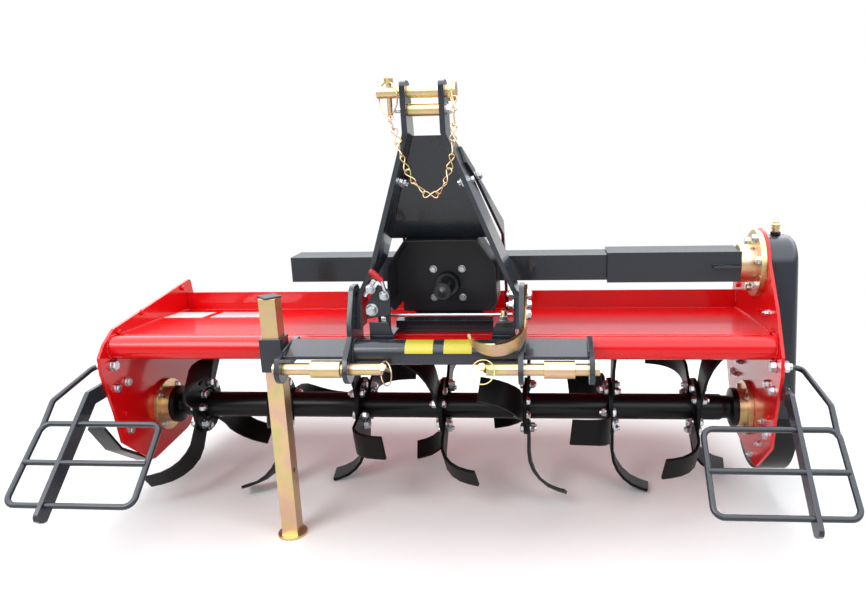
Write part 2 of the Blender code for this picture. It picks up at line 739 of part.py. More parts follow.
def build_mast():
    for side, word in ((-1, "left"), (1, "right")):
        rings = []
        for z, x, front, rear in MAST_STATIONS:
            centre = hitch_x + side * x
            low, high = centre - mast_thickness / 2, centre + mast_thickness / 2
            rings.append([(low, front, z), (high, front, z), (high, rear, z), (low, rear, z)])
        hole = rod((hitch_x + side * 0.02, top_pin_y, top_pin_z),
                   (hitch_x + side * 0.07, top_pin_y, top_pin_z),
                   top_pin_radius + running_gap)
        node(f"mast_bar_{word}", cut(loft(rings), hole), "grey_enamel")

    tip, collar, end = top_pin_ends
    pin_profile = [(0.0, tip), (top_pin_radius, tip), (top_pin_radius, collar),
                   (top_pin_head_radius, collar), (top_pin_head_radius, end), (0.0, end)]
    pin = turned([(r, hitch_x + x) for r, x in pin_profile], (top_pin_y, top_pin_z))
    node("top_pin", pin, "yellow_zinc")
    inner = MAST_STATIONS[0][1] - mast_thickness / 2 - running_gap
    spacer = rod((hitch_x - inner, top_pin_y, top_pin_z - spacer_drop),
                 (hitch_x + inner, top_pin_y, top_pin_z - spacer_drop), spacer_radius)
    node("top_spacer", spacer, "yellow_zinc")

    rings = []
    for drop, y in mast_plate_edges:
        z = top_pin_z - drop
        x = mast_at(z)[0] - mast_thickness / 2 - running_gap
        low, high, back = hitch_x - x, hitch_x + x, y + mast_plate_thickness
        rings.append([(low, y, z), (high, y, z), (high, back, z), (low, back, z)])
    node("mast_plate", loft(rings), "grey_enamel")

    # Braces: the first two rings lie flush on the bar's outer face, which leans
    half = brace_thickness / 2
    lean = (mast_knee_x - mast_top_x) / (MAST_STATIONS[3][0] - MAST_STATIONS[5][0])
    foot_y = deck_rear_y - deck_sheet - 0.040
    seat = deck_top(foot_y) + running_gap
    for side, word in ((-1, "left"), (1, "right")):
        foot_x = hitch_x + side * brace_foot_x
        places = []
        for drop, past_edge in brace_starts:
            z = top_pin_z - drop
            x, front, rear = mast_at(z)
            places.append((hitch_x + side * (x + mast_thickness / 2 + running_gap + half),
                           rear + past_edge, z, side * lean * brace_height))
        places.append((foot_x, brace_middle_y, gearbox_top_z - 0.005, 0.0))
        places.append((foot_x, foot_y, seat + brace_foot_rise, 0.0))
        rings = []
        for x, y, z, tip in places:
            high_y, high_z = y + brace_set_back, z + brace_height
            rings.append([(x - half, y, z), (x + half, y, z), (x + half - tip, high_y, high_z),
                          (x - half - tip, high_y, high_z)])
        foot_end = foot_y + brace_foot_length
        rings.append([(foot_x - half, foot_y, seat), (foot_x + half, foot_y, seat),
                      (foot_x + half, foot_end, seat), (foot_x - half, foot_end, seat)])
        node(f"mast_brace_{word}", loft(rings), "grey_enamel")


def build_shaft_hook():
    """A strap on the right hitch plate that curls round in front of it to carry a drive shaft."""
    slope = math.radians(hook_slope_deg)
    down = Vector((0.0, -math.cos(slope), -math.sin(slope)))
    wide = Vector((0.0, -math.sin(slope), math.cos(slope))) * hook_width / 2
    seat_x = hitch_x + clevis_inner_x + clevis_thickness / 2 + running_gap + hook_thickness / 2
    start = Vector((seat_x, *hook_top))
    bend = start + down * hook_straight
    centre = bend - Vector((hook_radius, 0.0, 0.0))
    line = [(start, Vector((1.0, 0.0, 0.0)))]
    steps = 20
    for k in range(steps + 1):
        turn = math.radians(hook_curl_deg * k / steps)
        out = Vector((math.cos(turn), 0.0, 0.0)) + down * math.sin(turn)
        line.append((centre + out * hook_radius, out))
    rings = []
    for here, out in line:
        thick = out * hook_thickness / 2
        rings.append([here + wide + thick, here - wide + thick, here - wide - thick, here + wide - thick])
    node("shaft_hook", loft(rings), "yellow_zinc")


def build_stand(floor_z):
    slide = axis_empty("stand_axis", (leg_x, leg_y, socket_bottom_z))
    half = leg_width / 2
    leg = box((leg_x - half, leg_y - half, floor_z + 0.003), (leg_x + half, leg_y + half, leg_top_z))
    hollow = half - leg_wall
    inside = box((leg_x - hollow, leg_y - hollow, floor_z + foot_thickness + 0.004),
                 (leg_x + hollow, leg_y + hollow, leg_top_z - 0.006))
    holes = []
    for k in range(leg_hole_count):
        z = floor_z + leg_first_hole + leg_hole_pitch * k
        holes.append(rod((leg_x - leg_width, leg_y, z), (leg_x + leg_width, leg_y, z), leg_hole_radius, 16))
    leg = cut(leg, together(holes), inside)
    foot = rod((leg_x, leg_y, floor_z), (leg_x, leg_y, floor_z + foot_thickness), foot_radius, 32)
    node("stand_leg", joined(leg, [foot]), "yellow_zinc", slide)

    inner = half + socket_gap
    outer = inner + socket_wall
    sleeve = box((leg_x - outer, leg_y - outer, socket_bottom_z), (leg_x + outer, leg_y + outer, socket_top_z))
    sleeve = cut(sleeve, box((leg_x - inner, leg_y - inner, socket_bottom_z - 0.01),
                             (leg_x + inner, leg_y + inner, socket_top_z + 0.01)))
    node("stand_socket", sleeve, "grey_enamel")


def build_board():
    hinge = axis_empty("board_axis", (0.0, board_hinge_y, board_hinge_z))
    drop = math.radians(board_drop_deg)
    inside = half_width - running_gap
    edge = half_width - board_side_gap
    way = Vector((math.cos(drop), -math.sin(drop)))
    start = Vector((board_hinge_y, board_hinge_z))
    end = start + way * board_length
    lip = end + Vector((-way.y, way.x)) * -0.020
    sheet_shape = plate([sheet([start, end, lip], board_sheet)], -edge, edge, "X")
    rod_shape = rod((-inside, board_hinge_y, board_hinge_z), (inside, board_hinge_y, board_hinge_z),
                    board_rod_radius, 16)
    node("rear_board", joined(rod_shape, [sheet_shape]), "red_enamel", hinge)


def build_guards():
    # Guard corners on the right: (x, y, z)
    top_y, top_z = -0.031, 0.316
    bottom_y, bottom_z = -0.180, 0.187
    mid_y, mid_z = -0.108, 0.254
    seat = half_width + plate_thickness + running_gap
    loop = [(guard_outer_x, top_y, top_z), (guard_outer_x + 0.006, bottom_y, bottom_z),
            (guard_inner_x, bottom_y, bottom_z), (guard_inner_x, top_y, top_z)]
    ring = tube(rounded_path(loop, 0.022, closed=True), guard_bar_radius, closed=True)
    stem = tube(rounded_path([(seat, 0.150, 0.397), (guard_stem_x, 0.150, 0.397),
                              (guard_outer_x - 0.003, 0.009, 0.357),
                              (guard_outer_x - 0.003, top_y - 0.012, top_z - 0.010)], 0.022), guard_bar_radius)
    cross = tube([(guard_inner_x, mid_y, mid_z), (guard_outer_x + 0.002, mid_y, mid_z)], guard_bar_radius)
    slope = (top_z - bottom_z) / (top_y - bottom_y)
    arm_line = [(y, top_z + (y - top_y) * slope) for y in (0.012, -0.205)]
    arm_x = seat + 0.0032
    arm = plate([sheet(arm_line, -guard_arm_thickness)], arm_x, arm_x + guard_arm_width, "X")
    lug = box((seat, -0.004, 0.340), (seat + 0.008, 0.178, 0.402))
    right = joined(ring, [stem, cross, arm, lug])
    node("guard_right", right, "grey_enamel")
    node("guard_left", mirrored(right), "grey_enamel")


build_hood()
bearing("bearing_left", -1)
bearing("bearing_right", 1)
rotor_spin = build_rotor()
build_drive()
build_gearbox()
build_hitch()
build_mast()
build_shaft_hook()
build_board()
build_guards()

bpy.context.view_layer.update()
tine_sets = [o for o in tiller.objects if o.name.startswith("tine_set")]
floor = min((o.matrix_world @ v.co).z for o in tine_sets for v in o.data.vertices)
build_stand(floor)

# The machine stands on the floor with the middle of its outline over the origin
bpy.context.view_layer.update()
solids = [o for o in tiller.objects if o.type == "MESH"]
corners = [o.matrix_world @ Vector(c) for o in solids for c in o.bound_box]
lows = [min(c[i] for c in corners) for i in range(3)]
highs = [max(c[i] for c in corners) for i in range(3)]
middle.location = (-(lows[0] + highs[0]) / 2, -(lows[1] + highs[1]) / 2, -lows[2])
bpy.context.view_layer.update()
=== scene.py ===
# Looks of the rotary tiller: its paints, platings, fasteners and small parts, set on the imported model.
import json
import math

import bmesh
import bpy
from mathutils import Matrix, Vector


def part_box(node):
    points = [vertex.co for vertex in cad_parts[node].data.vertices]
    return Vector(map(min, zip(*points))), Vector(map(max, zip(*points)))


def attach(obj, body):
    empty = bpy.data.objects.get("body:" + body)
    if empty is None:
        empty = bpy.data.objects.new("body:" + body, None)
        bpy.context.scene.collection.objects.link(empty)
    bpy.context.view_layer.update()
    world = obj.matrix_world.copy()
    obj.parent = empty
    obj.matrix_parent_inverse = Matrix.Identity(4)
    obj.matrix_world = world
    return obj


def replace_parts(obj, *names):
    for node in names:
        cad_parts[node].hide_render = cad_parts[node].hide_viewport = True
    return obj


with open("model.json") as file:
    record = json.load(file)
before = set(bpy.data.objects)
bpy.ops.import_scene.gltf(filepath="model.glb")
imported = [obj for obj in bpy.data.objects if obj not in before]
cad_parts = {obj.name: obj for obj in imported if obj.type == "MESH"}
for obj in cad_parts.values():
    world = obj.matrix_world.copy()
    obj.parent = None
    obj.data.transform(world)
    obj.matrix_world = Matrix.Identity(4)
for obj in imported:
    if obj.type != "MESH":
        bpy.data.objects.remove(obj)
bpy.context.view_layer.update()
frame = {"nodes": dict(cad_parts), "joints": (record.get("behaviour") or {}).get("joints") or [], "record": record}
print("frame loaded:", len(frame["nodes"]), "nodes")

# Places are given from the lower hitch pins: x from the hood's middle, back and up from the pins' line
pinLow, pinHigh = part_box("lower_pin_left")
pinLine = (pinLow + pinHigh) / 2


def spot(x, back, up):
    return Vector((x, pinLine.y + back, pinLine.z + up))


def middleOf(node):
    low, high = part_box(node)
    return (low + high) / 2


def halfHeight(node):
    low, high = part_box(node)
    return (high.z - low.z) / 2


def linked(name, data):
    item = bpy.data.objects.new(name, data)
    bpy.context.scene.collection.objects.link(item)
    return item


jointPlaces = {joint["name"]: Vector(joint["pos_m"]) for joint in frame["joints"]}
hitchX = middleOf("hitch_tube").x
rotorAxis = jointPlaces["rotor_spin"]
inputAxis = jointPlaces["input_spin"]
tineSets = sorted(node for node in frame["nodes"] if node.startswith("tine_set_"))
sides = ((-1, "Left"), (1, "Right"))
seatGap = 0.0003  # metres between faces that touch


# Camera at the photo's angle
shot = {
    "place": (0.302, -1.535, 0.538),
    "yaw": 4.41,  # degrees to the left
    "pitch": 13.49,  # degrees down
    "roll": -1.33,
    "focal": 718.0,  # pixels
    "frame": (865, 615),
    "middle": (502.3, 297.0),  # where the lens looks, in pixels
}


def makeCamera():
    yaw, pitch, roll = (math.radians(shot[k]) for k in ("yaw", "pitch", "roll"))
    ahead = Vector((-math.sin(yaw) * math.cos(pitch), math.cos(yaw) * math.cos(pitch), -math.sin(pitch)))
    level = Vector((math.cos(yaw), math.sin(yaw), 0.0))
    above = level.cross(ahead)
    right = level * math.cos(roll) + above * math.sin(roll)
    up = above * math.cos(roll) - level * math.sin(roll)
    wide, high = shot["frame"]
    data = bpy.data.cameras.new("photoCamera")
    data.sensor_width = 36.0
    data.lens = shot["focal"] / wide * data.sensor_width
    data.shift_x = (wide / 2 - shot["middle"][0]) / wide
    data.shift_y = (shot["middle"][1] - high / 2) / wide
    camera = linked("photoCamera", data)
    turn = Matrix((right, up, -ahead)).transposed().to_4x4()
    camera.matrix_world = Matrix.Translation(spot(*shot["place"])) @ turn
    bpy.context.scene.camera = camera


makeCamera()


# Materials
def fromHex(code):
    parts = [int(code[i:i + 2], 16) / 255 for i in (1, 3, 5)]
    return tuple(c / 12.92 if c <= 0.04045 else ((c + 0.055) / 1.055) ** 2.4 for c in parts) + (1.0,)


def addNode(tree, kind, sockets=None, **settings):
    node = tree.nodes.new(kind)
    for name, value in settings.items():
        setattr(node, name, value)
    for name, value in (sockets or {}).items():
        if isinstance(value, bpy.types.NodeSocket):
            tree.links.new(value, node.inputs[name])
        else:
            node.inputs[name].default_value = value
    return node


def newMaterial(name, **sockets):
    material = bpy.data.materials.new(name)
    material.use_nodes = True
    shader = material.node_tree.nodes["Principled BSDF"]
    for socket, value in sockets.items():
        shader.inputs[socket.replace("_", " ")].default_value = value
    place = addNode(material.node_tree, "ShaderNodeTexCoord").outputs["Object"]
    return material, material.node_tree, shader, place


def perMetre(millimetres):
    return 1000.0 / millimetres


def grained(tree, shader, pattern, rough, relief=None, levels=(0.0, 1.0)):
    # A fine pattern sets the roughness between two values; a relief is its height, strength and depth
    dull = addNode(tree, "ShaderNodeMapRange",
                   {"Value": pattern, "From Min": levels[0], "From Max": levels[1],
                    "To Min": rough[0], "To Max": rough[1]})
    tree.links.new(dull.outputs["Result"], shader.inputs["Roughness"])
    if relief:
        height, strength, depth = relief
        bump = addNode(tree, "ShaderNodeBump", {"Height": height, "Strength": strength, "Distance": depth})
        tree.links.new(bump.outputs["Normal"], shader.inputs["Normal"])


enamelLook = {
    "peel": 4.0,  # millimetres between the ripples that a spray gun leaves
    "peelDepth": 0.00012,
    "peelStrength": 0.35,
    "drift": 180.0,  # millimetres of the slow change of shade
    "dust": 1.6,  # millimetres between specks of dust
    "dustLevels": (0.35, 0.75),
    "smoother": 0.04,  # how far the roughness goes below and above its middle
    "rougher": 0.08,
}


def gunEnamel(name, face, shade, roughness, coat, gloss):
    # Sprayed gloss enamel on steel plate: a deep colour under a clear gloss with a faint orange peel
    material, tree, shader, place = newMaterial(
        name, Coat_Weight=coat, Coat_Roughness=0.06, IOR=1.5, Specular_IOR_Level=gloss)
    drift = addNode(tree, "ShaderNodeTexNoise",
                    {"Vector": place, "Scale": perMetre(enamelLook["drift"]), "Detail": 3.0})
    colour = addNode(tree, "ShaderNodeMix",
                     {0: drift.outputs["Fac"], 6: fromHex(face), 7: fromHex(shade)}, data_type="RGBA")
    tree.links.new(colour.outputs[2], shader.inputs["Base Color"])
    dust = addNode(tree, "ShaderNodeTexNoise",
                   {"Vector": place, "Scale": perMetre(enamelLook["dust"]), "Detail": 2.0})
    peel = addNode(tree, "ShaderNodeTexNoise",
                   {"Vector": place, "Scale": perMetre(enamelLook["peel"]), "Detail": 1.0})
    rough = (roughness - enamelLook["smoother"], roughness + enamelLook["rougher"])
    relief = (peel.outputs["Fac"], enamelLook["peelStrength"], enamelLook["peelDepth"])
    grained(tree, shader, dust.outputs["Fac"], rough, relief, enamelLook["dustLevels"])
    return material


platingLook = {
    "cloud": 60.0,  # millimetres across a patch of one tint
    "gold": "#CFB284",
    "rose": "#CBA690",
    "olive": "#BFB37C",
    "streak": 7.0,
    "streakStrength": 0.2,
    "streakDepth": 0.0002,
    "rough": (0.24, 0.44),
}


def yellowChromate():
    # Zinc plating with a yellow chromate: gold metal that drifts to rose and olive
    material, tree, shader, place = newMaterial("yellowChromateZinc", Metallic=0.9)
    cloud = addNode(tree, "ShaderNodeTexNoise",
                    {"Vector": place, "Scale": perMetre(platingLook["cloud"]), "Detail": 3.0,
                     "Distortion": 0.6})
    ramp = addNode(tree, "ShaderNodeValToRGB", {"Fac": cloud.outputs["Fac"]})
    stops = ramp.color_ramp.elements
    stops[0].position, stops[0].color = 0.34, fromHex(platingLook["rose"])
    stops[1].position, stops[1].color = 0.66, fromHex(platingLook["olive"])
    gold = stops.new(0.5)
    gold.color = fromHex(platingLook["gold"])
    tree.links.new(ramp.outputs["Color"], shader.inputs["Base Color"])
    streak = addNode(tree, "ShaderNodeTexNoise",
                     {"Vector": place, "Scale": perMetre(platingLook["streak"]), "Detail": 4.0})
    relief = (streak.outputs["Fac"], platingLook["streakStrength"], platingLook["streakDepth"])
    grained(tree, shader, streak.outputs["Fac"], platingLook["rough"], relief)
    return material


zincLook = {
    "grain": 1.8,  # millimetres across a crystal
    "bright": "#D9DDE0",
    "dim": "#A9AEB2",
    "rough": (0.22, 0.38),
}


def brightZinc():
    # Clear zinc plating on fasteners: pale grey metal with a fine crystal grain
    material, tree, shader, place = newMaterial("brightZinc", Metallic=1.0)
    grain = addNode(tree, "ShaderNodeTexVoronoi",
                    {"Vector": place, "Scale": perMetre(zincLook["grain"])}).outputs["Distance"]
    colour = addNode(tree, "ShaderNodeMix",
                     {0: grain, 6: fromHex(zincLook["bright"]), 7: fromHex(zincLook["dim"])},
                     data_type="RGBA")
    tree.links.new(colour.outputs[2], shader.inputs["Base Color"])
    grained(tree, shader, grain, zincLook["rough"])
    return material


plasticLook = {
    "spread": 0.07,  # of the roughness round its middle
    "strength": 0.15,
    "depth": 0.0002,
}


def mouldedPlastic(name, code, roughness, grainMillimetres):
    # Moulded plastic: one colour right through, with the fine texture of its mould
    material, tree, shader, place = newMaterial(name, Base_Color=fromHex(code), IOR=1.48)
    grain = addNode(tree, "ShaderNodeTexNoise",
                    {"Vector": place, "Scale": perMetre(grainMillimetres), "Detail": 3.0}).outputs["Fac"]
    rough = (roughness - plasticLook["spread"], roughness + plasticLook["spread"])
    grained(tree, shader, grain, rough, (grain, plasticLook["strength"], plasticLook["depth"]))
    return material


# Enamels: colour, its darker drift, roughness, weight of the clear coat, gloss
redEnamel = gunEnamel("redEnamel", "#DB060D", "#C8040A", 0.22, 0.35, 0.20)
greyEnamel = gunEnamel("graphiteEnamel", "#2A2E35", "#23272D", 0.25, 0.35, 0.25)
blackEnamel = gunEnamel("blackEnamel", "#0D0D0F", "#09090B", 0.36, 0.05, 0.20)
# Painted light: the shield's black enamel, made lighter to stand in for light on it
shieldPaintedLightEnamel = gunEnamel("blackEnamelPaintedLight", "#29282C", "#222125", 0.42, 0.05, 0.30)
# Painted shade: the blades' black enamel, made darker and duller than the rotor's
bladePaintedShadeEnamel = gunEnamel("blackEnamelPaintedShade", "#09090A", "#060607", 0.44, 0.02, 0.12)
yellowZinc = yellowChromate()
zinc = brightZinc()
# Plastics, films and a plate: colour, roughness, millimetres between the bumps of the texture
blackPlastic = mouldedPlastic("mouldedPolyethylene", "#141415", 0.34, 0.9)
redGripPlastic = mouldedPlastic("dippedVinyl", "#B3141C", 0.42, 1.4)
yellowFilm = mouldedPlastic("yellowVinylFilm", "#C9BB3A", 0.30, 2.5)
whiteFilm = mouldedPlastic("whiteVinylFilm", "#EDEBE6", 0.28, 2.5)
ratingPlate = mouldedPlastic("anodisedAluminium", "#C9CCCE", 0.34, 1.2)
ratingPlate.node_tree.nodes["Principled BSDF"].inputs["Metallic"].default_value = 0.85
print("materials made")


# Pieces
edgeLook = {
    "merge": 0.00002,  # metres between points that are one
    "flat": 0.6,  # degrees up to which faces lie in one plane
    "bevelFrom": 40.0,
    "segments": 2,
    "sharpFrom": 35.0,
    "wireSharpFrom": 50.0,
}


def asPiece(name, mesh, material, body):
    piece = linked(name, mesh)
    mesh.materials.append(material)
    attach(piece, body)
    return piece


def fromBmesh(name, bm, material, body="frame"):
    bmesh.ops.recalc_face_normals(bm, faces=bm.faces)
    mesh = bpy.data.meshes.new(name)
    bm.to_mesh(mesh)
    bm.free()
    mesh.shade_smooth()
    mesh.set_sharp_from_angle(angle=math.radians(edgeLook["sharpFrom"]))
    return asPiece(name, mesh, material, body)


def evaluatedMesh(item):
    graph = bpy.context.evaluated_depsgraph_get()
    graph.update()
    return bpy.data.meshes.new_from_object(item.evaluated_get(graph))


def settled(piece):
    # The evaluated mesh takes the place of the modifiers
    mesh = evaluatedMesh(piece)
    piece.modifiers.clear()
    old, piece.data = piece.data, mesh
    bpy.data.meshes.remove(old)
    return piece


def bevelled(piece, width):
    edges = piece.modifiers.new("edges", "BEVEL")
    edges.width = width
    edges.segments = edgeLook["segments"]
    edges.limit_method = "ANGLE"
    edges.angle_limit = math.radians(edgeLook["bevelFrom"])
    return piece


def cutTip(bm, node, shorter):
    # Takes the free end of a hook's bend down by a length, and closes the cut
    middle = middleOf(node).x
    everything = [*bm.verts, *bm.edges, *bm.faces]
    bmesh.ops.bisect_plane(bm, geom=everything, plane_co=(middle, 0, 0), plane_no=(1, 0, 0))
    level = max(vert.co.z for vert in bm.verts if vert.co.x < middle) - shorter
    limit = middle + edgeLook["merge"] / 2
    faces = [face for face in bm.faces if all(vert.co.x < limit for vert in face.verts)]
    edges = {edge for face in faces for edge in face.edges}
    verts = {vert for face in faces for vert in face.verts}
    cut = bmesh.ops.bisect_plane(bm, geom=[*verts, *edges, *faces], plane_co=(0, 0, level),
                                 plane_no=(0, 0, 1), clear_outer=True)
    rim = [item for item in cut["geom_cut"] if isinstance(item, bmesh.types.BMEdge)]
    bmesh.ops.edgeloop_fill(bm, edges=rim)


def roundedNode(node, body, material, width):
    # A copy of a plate or casting with its edges broken, which stands for the sharp one
    bm = bmesh.new()
    bm.from_mesh(frame["nodes"][node].data)
    bmesh.ops.remove_doubles(bm, verts=bm.verts, dist=edgeLook["merge"])
    bmesh.ops.dissolve_limit(bm, angle_limit=math.radians(edgeLook["flat"]), verts=bm.verts, edges=bm.edges)
    if node in cutTips:
        cutTip(bm, node, cutTips[node])
    mesh = bpy.data.meshes.new(node + ".rounded")
    bm.to_mesh(mesh)
    bm.free()
    mesh.shade_smooth()
    mesh.materials.append(material)
    piece = bevelled(linked(node + ".rounded", mesh), width)
    piece.modifiers.new("even", "WEIGHTED_NORMAL").keep_sharp = True
    settled(piece)
    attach(piece, body)
    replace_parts(piece, node)


bodyOf = {node: body for body, nodes in frame["record"]["behaviour"]["bodies"].items() for node in nodes}
slotOf = {part["node"]: part["material_slot"] for part in frame["record"]["subparts"]}
finishOf = {
    "red_enamel": (redEnamel, 0.0012),
    "grey_enamel": (greyEnamel, 0.0010),
    "black_enamel": (blackEnamel, 0.0008),
    "yellow_zinc": (yellowZinc, 0.0008),
    "black_plastic": (blackPlastic, 0.0015),
}
# Painted light on the shield and painted shade on the blades: lighter and darker copies of the black enamel
ownFinish = {"pto_shield": shieldPaintedLightEnamel, **{node: bladePaintedShadeEnamel for node in tineSets}}
cutTips = {"shaft_hook": 0.044}  # metres off the free end, which the photo shows lower
remade = {"case_breather", "guard_left", "guard_right"}  # nodes that finer pieces further down stand for
for node in sorted(set(frame["nodes"]) - remade):
    material, width = finishOf[slotOf[node]]
    roundedNode(node, bodyOf[node], ownFinish.get(node, material), width)
print("nodes finished")


# Fasteners: a washer, a hexagon and the end of its thread on each seat, by Geometry Nodes
def treeWithInputs(name, sizes):
    tree = bpy.data.node_groups.new(name, "GeometryNodeTree")
    tree.interface.new_socket("Carrier", in_out="INPUT", socket_type="NodeSocketGeometry")
    for size, value in sizes.items():
        tree.interface.new_socket(size, in_out="INPUT", socket_type="NodeSocketFloat").default_value = value
    tree.interface.new_socket("Finish", in_out="INPUT", socket_type="NodeSocketMaterial")
    tree.interface.new_socket("Result", in_out="OUTPUT", socket_type="NodeSocketGeometry")
    return tree, addNode(tree, "NodeGroupInput").outputs


def closeTree(tree, given, geometry):
    real = addNode(tree, "GeometryNodeRealizeInstances", {"Geometry": geometry})
    painted = addNode(tree, "GeometryNodeSetMaterial",
                      {"Geometry": real.outputs["Geometry"], "Material": given["Finish"]})
    addNode(tree, "NodeGroupOutput", {"Result": painted.outputs["Geometry"]})
    return tree


def maths(tree, operation, first, second):
    return addNode(tree, "ShaderNodeMath", {0: first, 1: second}, operation=operation).outputs[0]


def raised(tree, geometry, height):
    lift = addNode(tree, "ShaderNodeCombineXYZ", {"Z": height}).outputs["Vector"]
    return addNode(tree, "GeometryNodeTransform",
                   {"Geometry": geometry, "Translation": lift}).outputs["Geometry"]


def prism(tree, corners, radius, foot, depth):
    # An upright prism that starts at a height above its seat
    shape = addNode(tree, "GeometryNodeMeshCylinder", {"Vertices": corners, "Radius": radius, "Depth": depth})
    middle = maths(tree, "ADD", foot, maths(tree, "MULTIPLY", depth, 0.5))
    return raised(tree, shape.outputs["Mesh"], middle)


def spun(tree, rotation, angle):
    # Turns a rotation further about its own Z axis
    twist = addNode(tree, "FunctionNodeAxisAngleToRotation", {"Axis": (0.0, 0.0, 1.0), "Angle": angle})
    return addNode(tree, "FunctionNodeRotateRotation",
                   {"Rotation": rotation, "Rotate By": twist.outputs["Rotation"]},
                   rotation_space="LOCAL").outputs["Rotation"]


def hexagonTree():
    tree, given = treeWithInputs("hexagonFasteners", {
        "Across Flats": 0.019, "Head Height": 0.008, "Washer Radius": 0.012,
        "Washer Thickness": 0.0025, "Thread Radius": 0.005, "Thread Length": 0.003})
    washer, head = given["Washer Thickness"], given["Head Height"]
    radius = maths(tree, "DIVIDE", given["Across Flats"], 2 * math.cos(math.radians(30)))
    straight = maths(tree, "MULTIPLY", head, 0.8)  # the rest is the chamfered crown
    crown = addNode(tree, "GeometryNodeMeshCone",
                    {"Vertices": 6, "Radius Top": maths(tree, "MULTIPLY", radius, 0.84),
                     "Radius Bottom": radius, "Depth": maths(tree, "MULTIPLY", head, 0.2)})
    stack = (prism(tree, 20, given["Washer Radius"], 0.0, washer),
             prism(tree, 6, radius, washer, straight),
             raised(tree, crown.outputs["Mesh"], maths(tree, "ADD", washer, straight)),
             prism(tree, 12, given["Thread Radius"], maths(tree, "ADD", washer, head),
                   given["Thread Length"]))
    whole = addNode(tree, "GeometryNodeJoinGeometry")
    for part in stack:
        tree.links.new(part, whole.inputs["Geometry"])
    facing = addNode(tree, "GeometryNodeInputNamedAttribute", {"Name": "facing"}, data_type="FLOAT_VECTOR")
    aligned = addNode(tree, "FunctionNodeAlignRotationToVector",
                      {"Vector": facing.outputs["Attribute"]}, axis="Z")
    chance = addNode(tree, "FunctionNodeRandomValue",
                     {2: 0.0, 3: math.radians(60), "Seed": 11}, data_type="FLOAT")
    copies = addNode(tree, "GeometryNodeInstanceOnPoints",
                     {"Points": given["Carrier"], "Instance": whole.outputs["Geometry"],
                      "Rotation": spun(tree, aligned.outputs["Rotation"], chance.outputs[1])})
    return closeTree(tree, given, copies.outputs["Instances"])


def grown(name, tree, carrier, sizes, finish, body="frame"):
    # Runs a tree on a carrier mesh and keeps the result as a plain mesh
    piece = linked(name, carrier)
    change = piece.modifiers.new("grow", "NODES")
    change.node_group = tree
    values = {**sizes, "Finish": finish}
    for socket in tree.interface.items_tree:
        if socket.in_out == "INPUT" and socket.name in values:
            change[socket.identifier] = values[socket.name]
    settled(piece)
    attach(piece, body)
    return piece


def seatMesh(name, seats):
    mesh = bpy.data.meshes.new(name)
    mesh.from_pydata([place for place, way in seats], [], [])
    facing = mesh.attributes.new("facing", "FLOAT_VECTOR", "POINT")
    for item, (place, way) in zip(facing.data, seats):
        item.vector = way
    return mesh


hexagons = hexagonTree()
fastenerSizes = {  # millimetres: across flats, head, washer radius, washer, thread radius, thread length
    "large": (24.0, 10.0, 15.0, 2.5, 7.0, 0.6),
    "largeNut": (24.0, 13.0, 15.0, 2.5, 8.0, 6.0),
    "medium": (19.0, 7.5, 12.0, 2.2, 5.6, 0.5),
    "mediumNut": (19.0, 10.0, 12.0, 2.2, 6.0, 5.0),
    "small": (13.0, 5.3, 8.0, 1.6, 4.0, 0.4),
    "smallNut": (13.0, 7.0, 9.0, 1.6, 4.0, 6.0),
    "shield": (15.0, 6.5, 9.6, 1.8, 5.0, 0.4),
}


def bolts(name, size, seats, body="frame", finish=zinc):
    labels = ("Across Flats", "Head Height", "Washer Radius",
              "Washer Thickness", "Thread Radius", "Thread Length")
    sizes = {label: value / 1000 for label, value in zip(labels, fastenerSizes[size])}
    return grown(name, hexagons, seatMesh(name, seats), sizes, finish, body)


def ring(centre, axis, start, radius, count, firstDegrees):
    # Seats evenly round a circle; axis is the way they face, start a direction across it
    axis, start = Vector(axis), Vector(start)
    side = axis.cross(start)
    seats = []
    for k in range(count):
        angle = math.radians(firstDegrees + 360.0 * k / count)
        out = start * math.cos(angle) + side * math.sin(angle)
        seats.append((Vector(centre) + out * radius, axis))
    return seats


plateSeats = {  # back and up from the pins' line, size, how far the nut's seat is off the plate
    "both": [(0.1116, -0.0305, "large", 0.0083), (0.1134, -0.0915, "medium", 0.0113),
             (0.1603, -0.0923, "medium", 0.0083), (0.1425, -0.2182, "medium", 0.0),
             (0.4970, -0.1774, "medium", 0.0)],
    "painted": [(0.1327, -0.1668), (0.1533, 0.0442), (0.2662, 0.0676), (0.4890, 0.0839)],
    "case": [(0.2341, 0.1595), (0.1968, 0.0785), (0.1754, -0.1951), (0.1910, -0.2627), (0.2639, -0.3256),
             (0.4484, -0.1677), (0.4150, -0.1201)],
}
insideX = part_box("deck")[1].x
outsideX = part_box("side_plate_right")[1].x
nutsUpTo = 0.14  # back from the pins' line: further back the plates' outsides have no nuts
for side, word in sides:
    inward, outward = (-side, 0, 0), (side, 0, 0)
    for size in ("large", "medium"):
        rows = [row for row in plateSeats["both"] if row[2] == size]
        bolts(f"plateBolts{word}.{size}", size,
              [(spot(side * insideX, back, up), inward) for back, up, _, _ in rows])
        bolts(f"plateNuts{word}.{size}", size + "Nut",
              [(spot(side * (outsideX + off), back, up), outward)
               for back, up, _, off in rows if back < nutsUpTo])
    bolts(f"paintedBolts{word}", "small",
          [(spot(side * insideX, back, up), inward) for back, up in plateSeats["painted"]],
          finish=redEnamel)
bolts("caseBolts", "smallNut",
      [(spot(insideX, back, up), (-1, 0, 0)) for back, up in plateSeats["case"]])

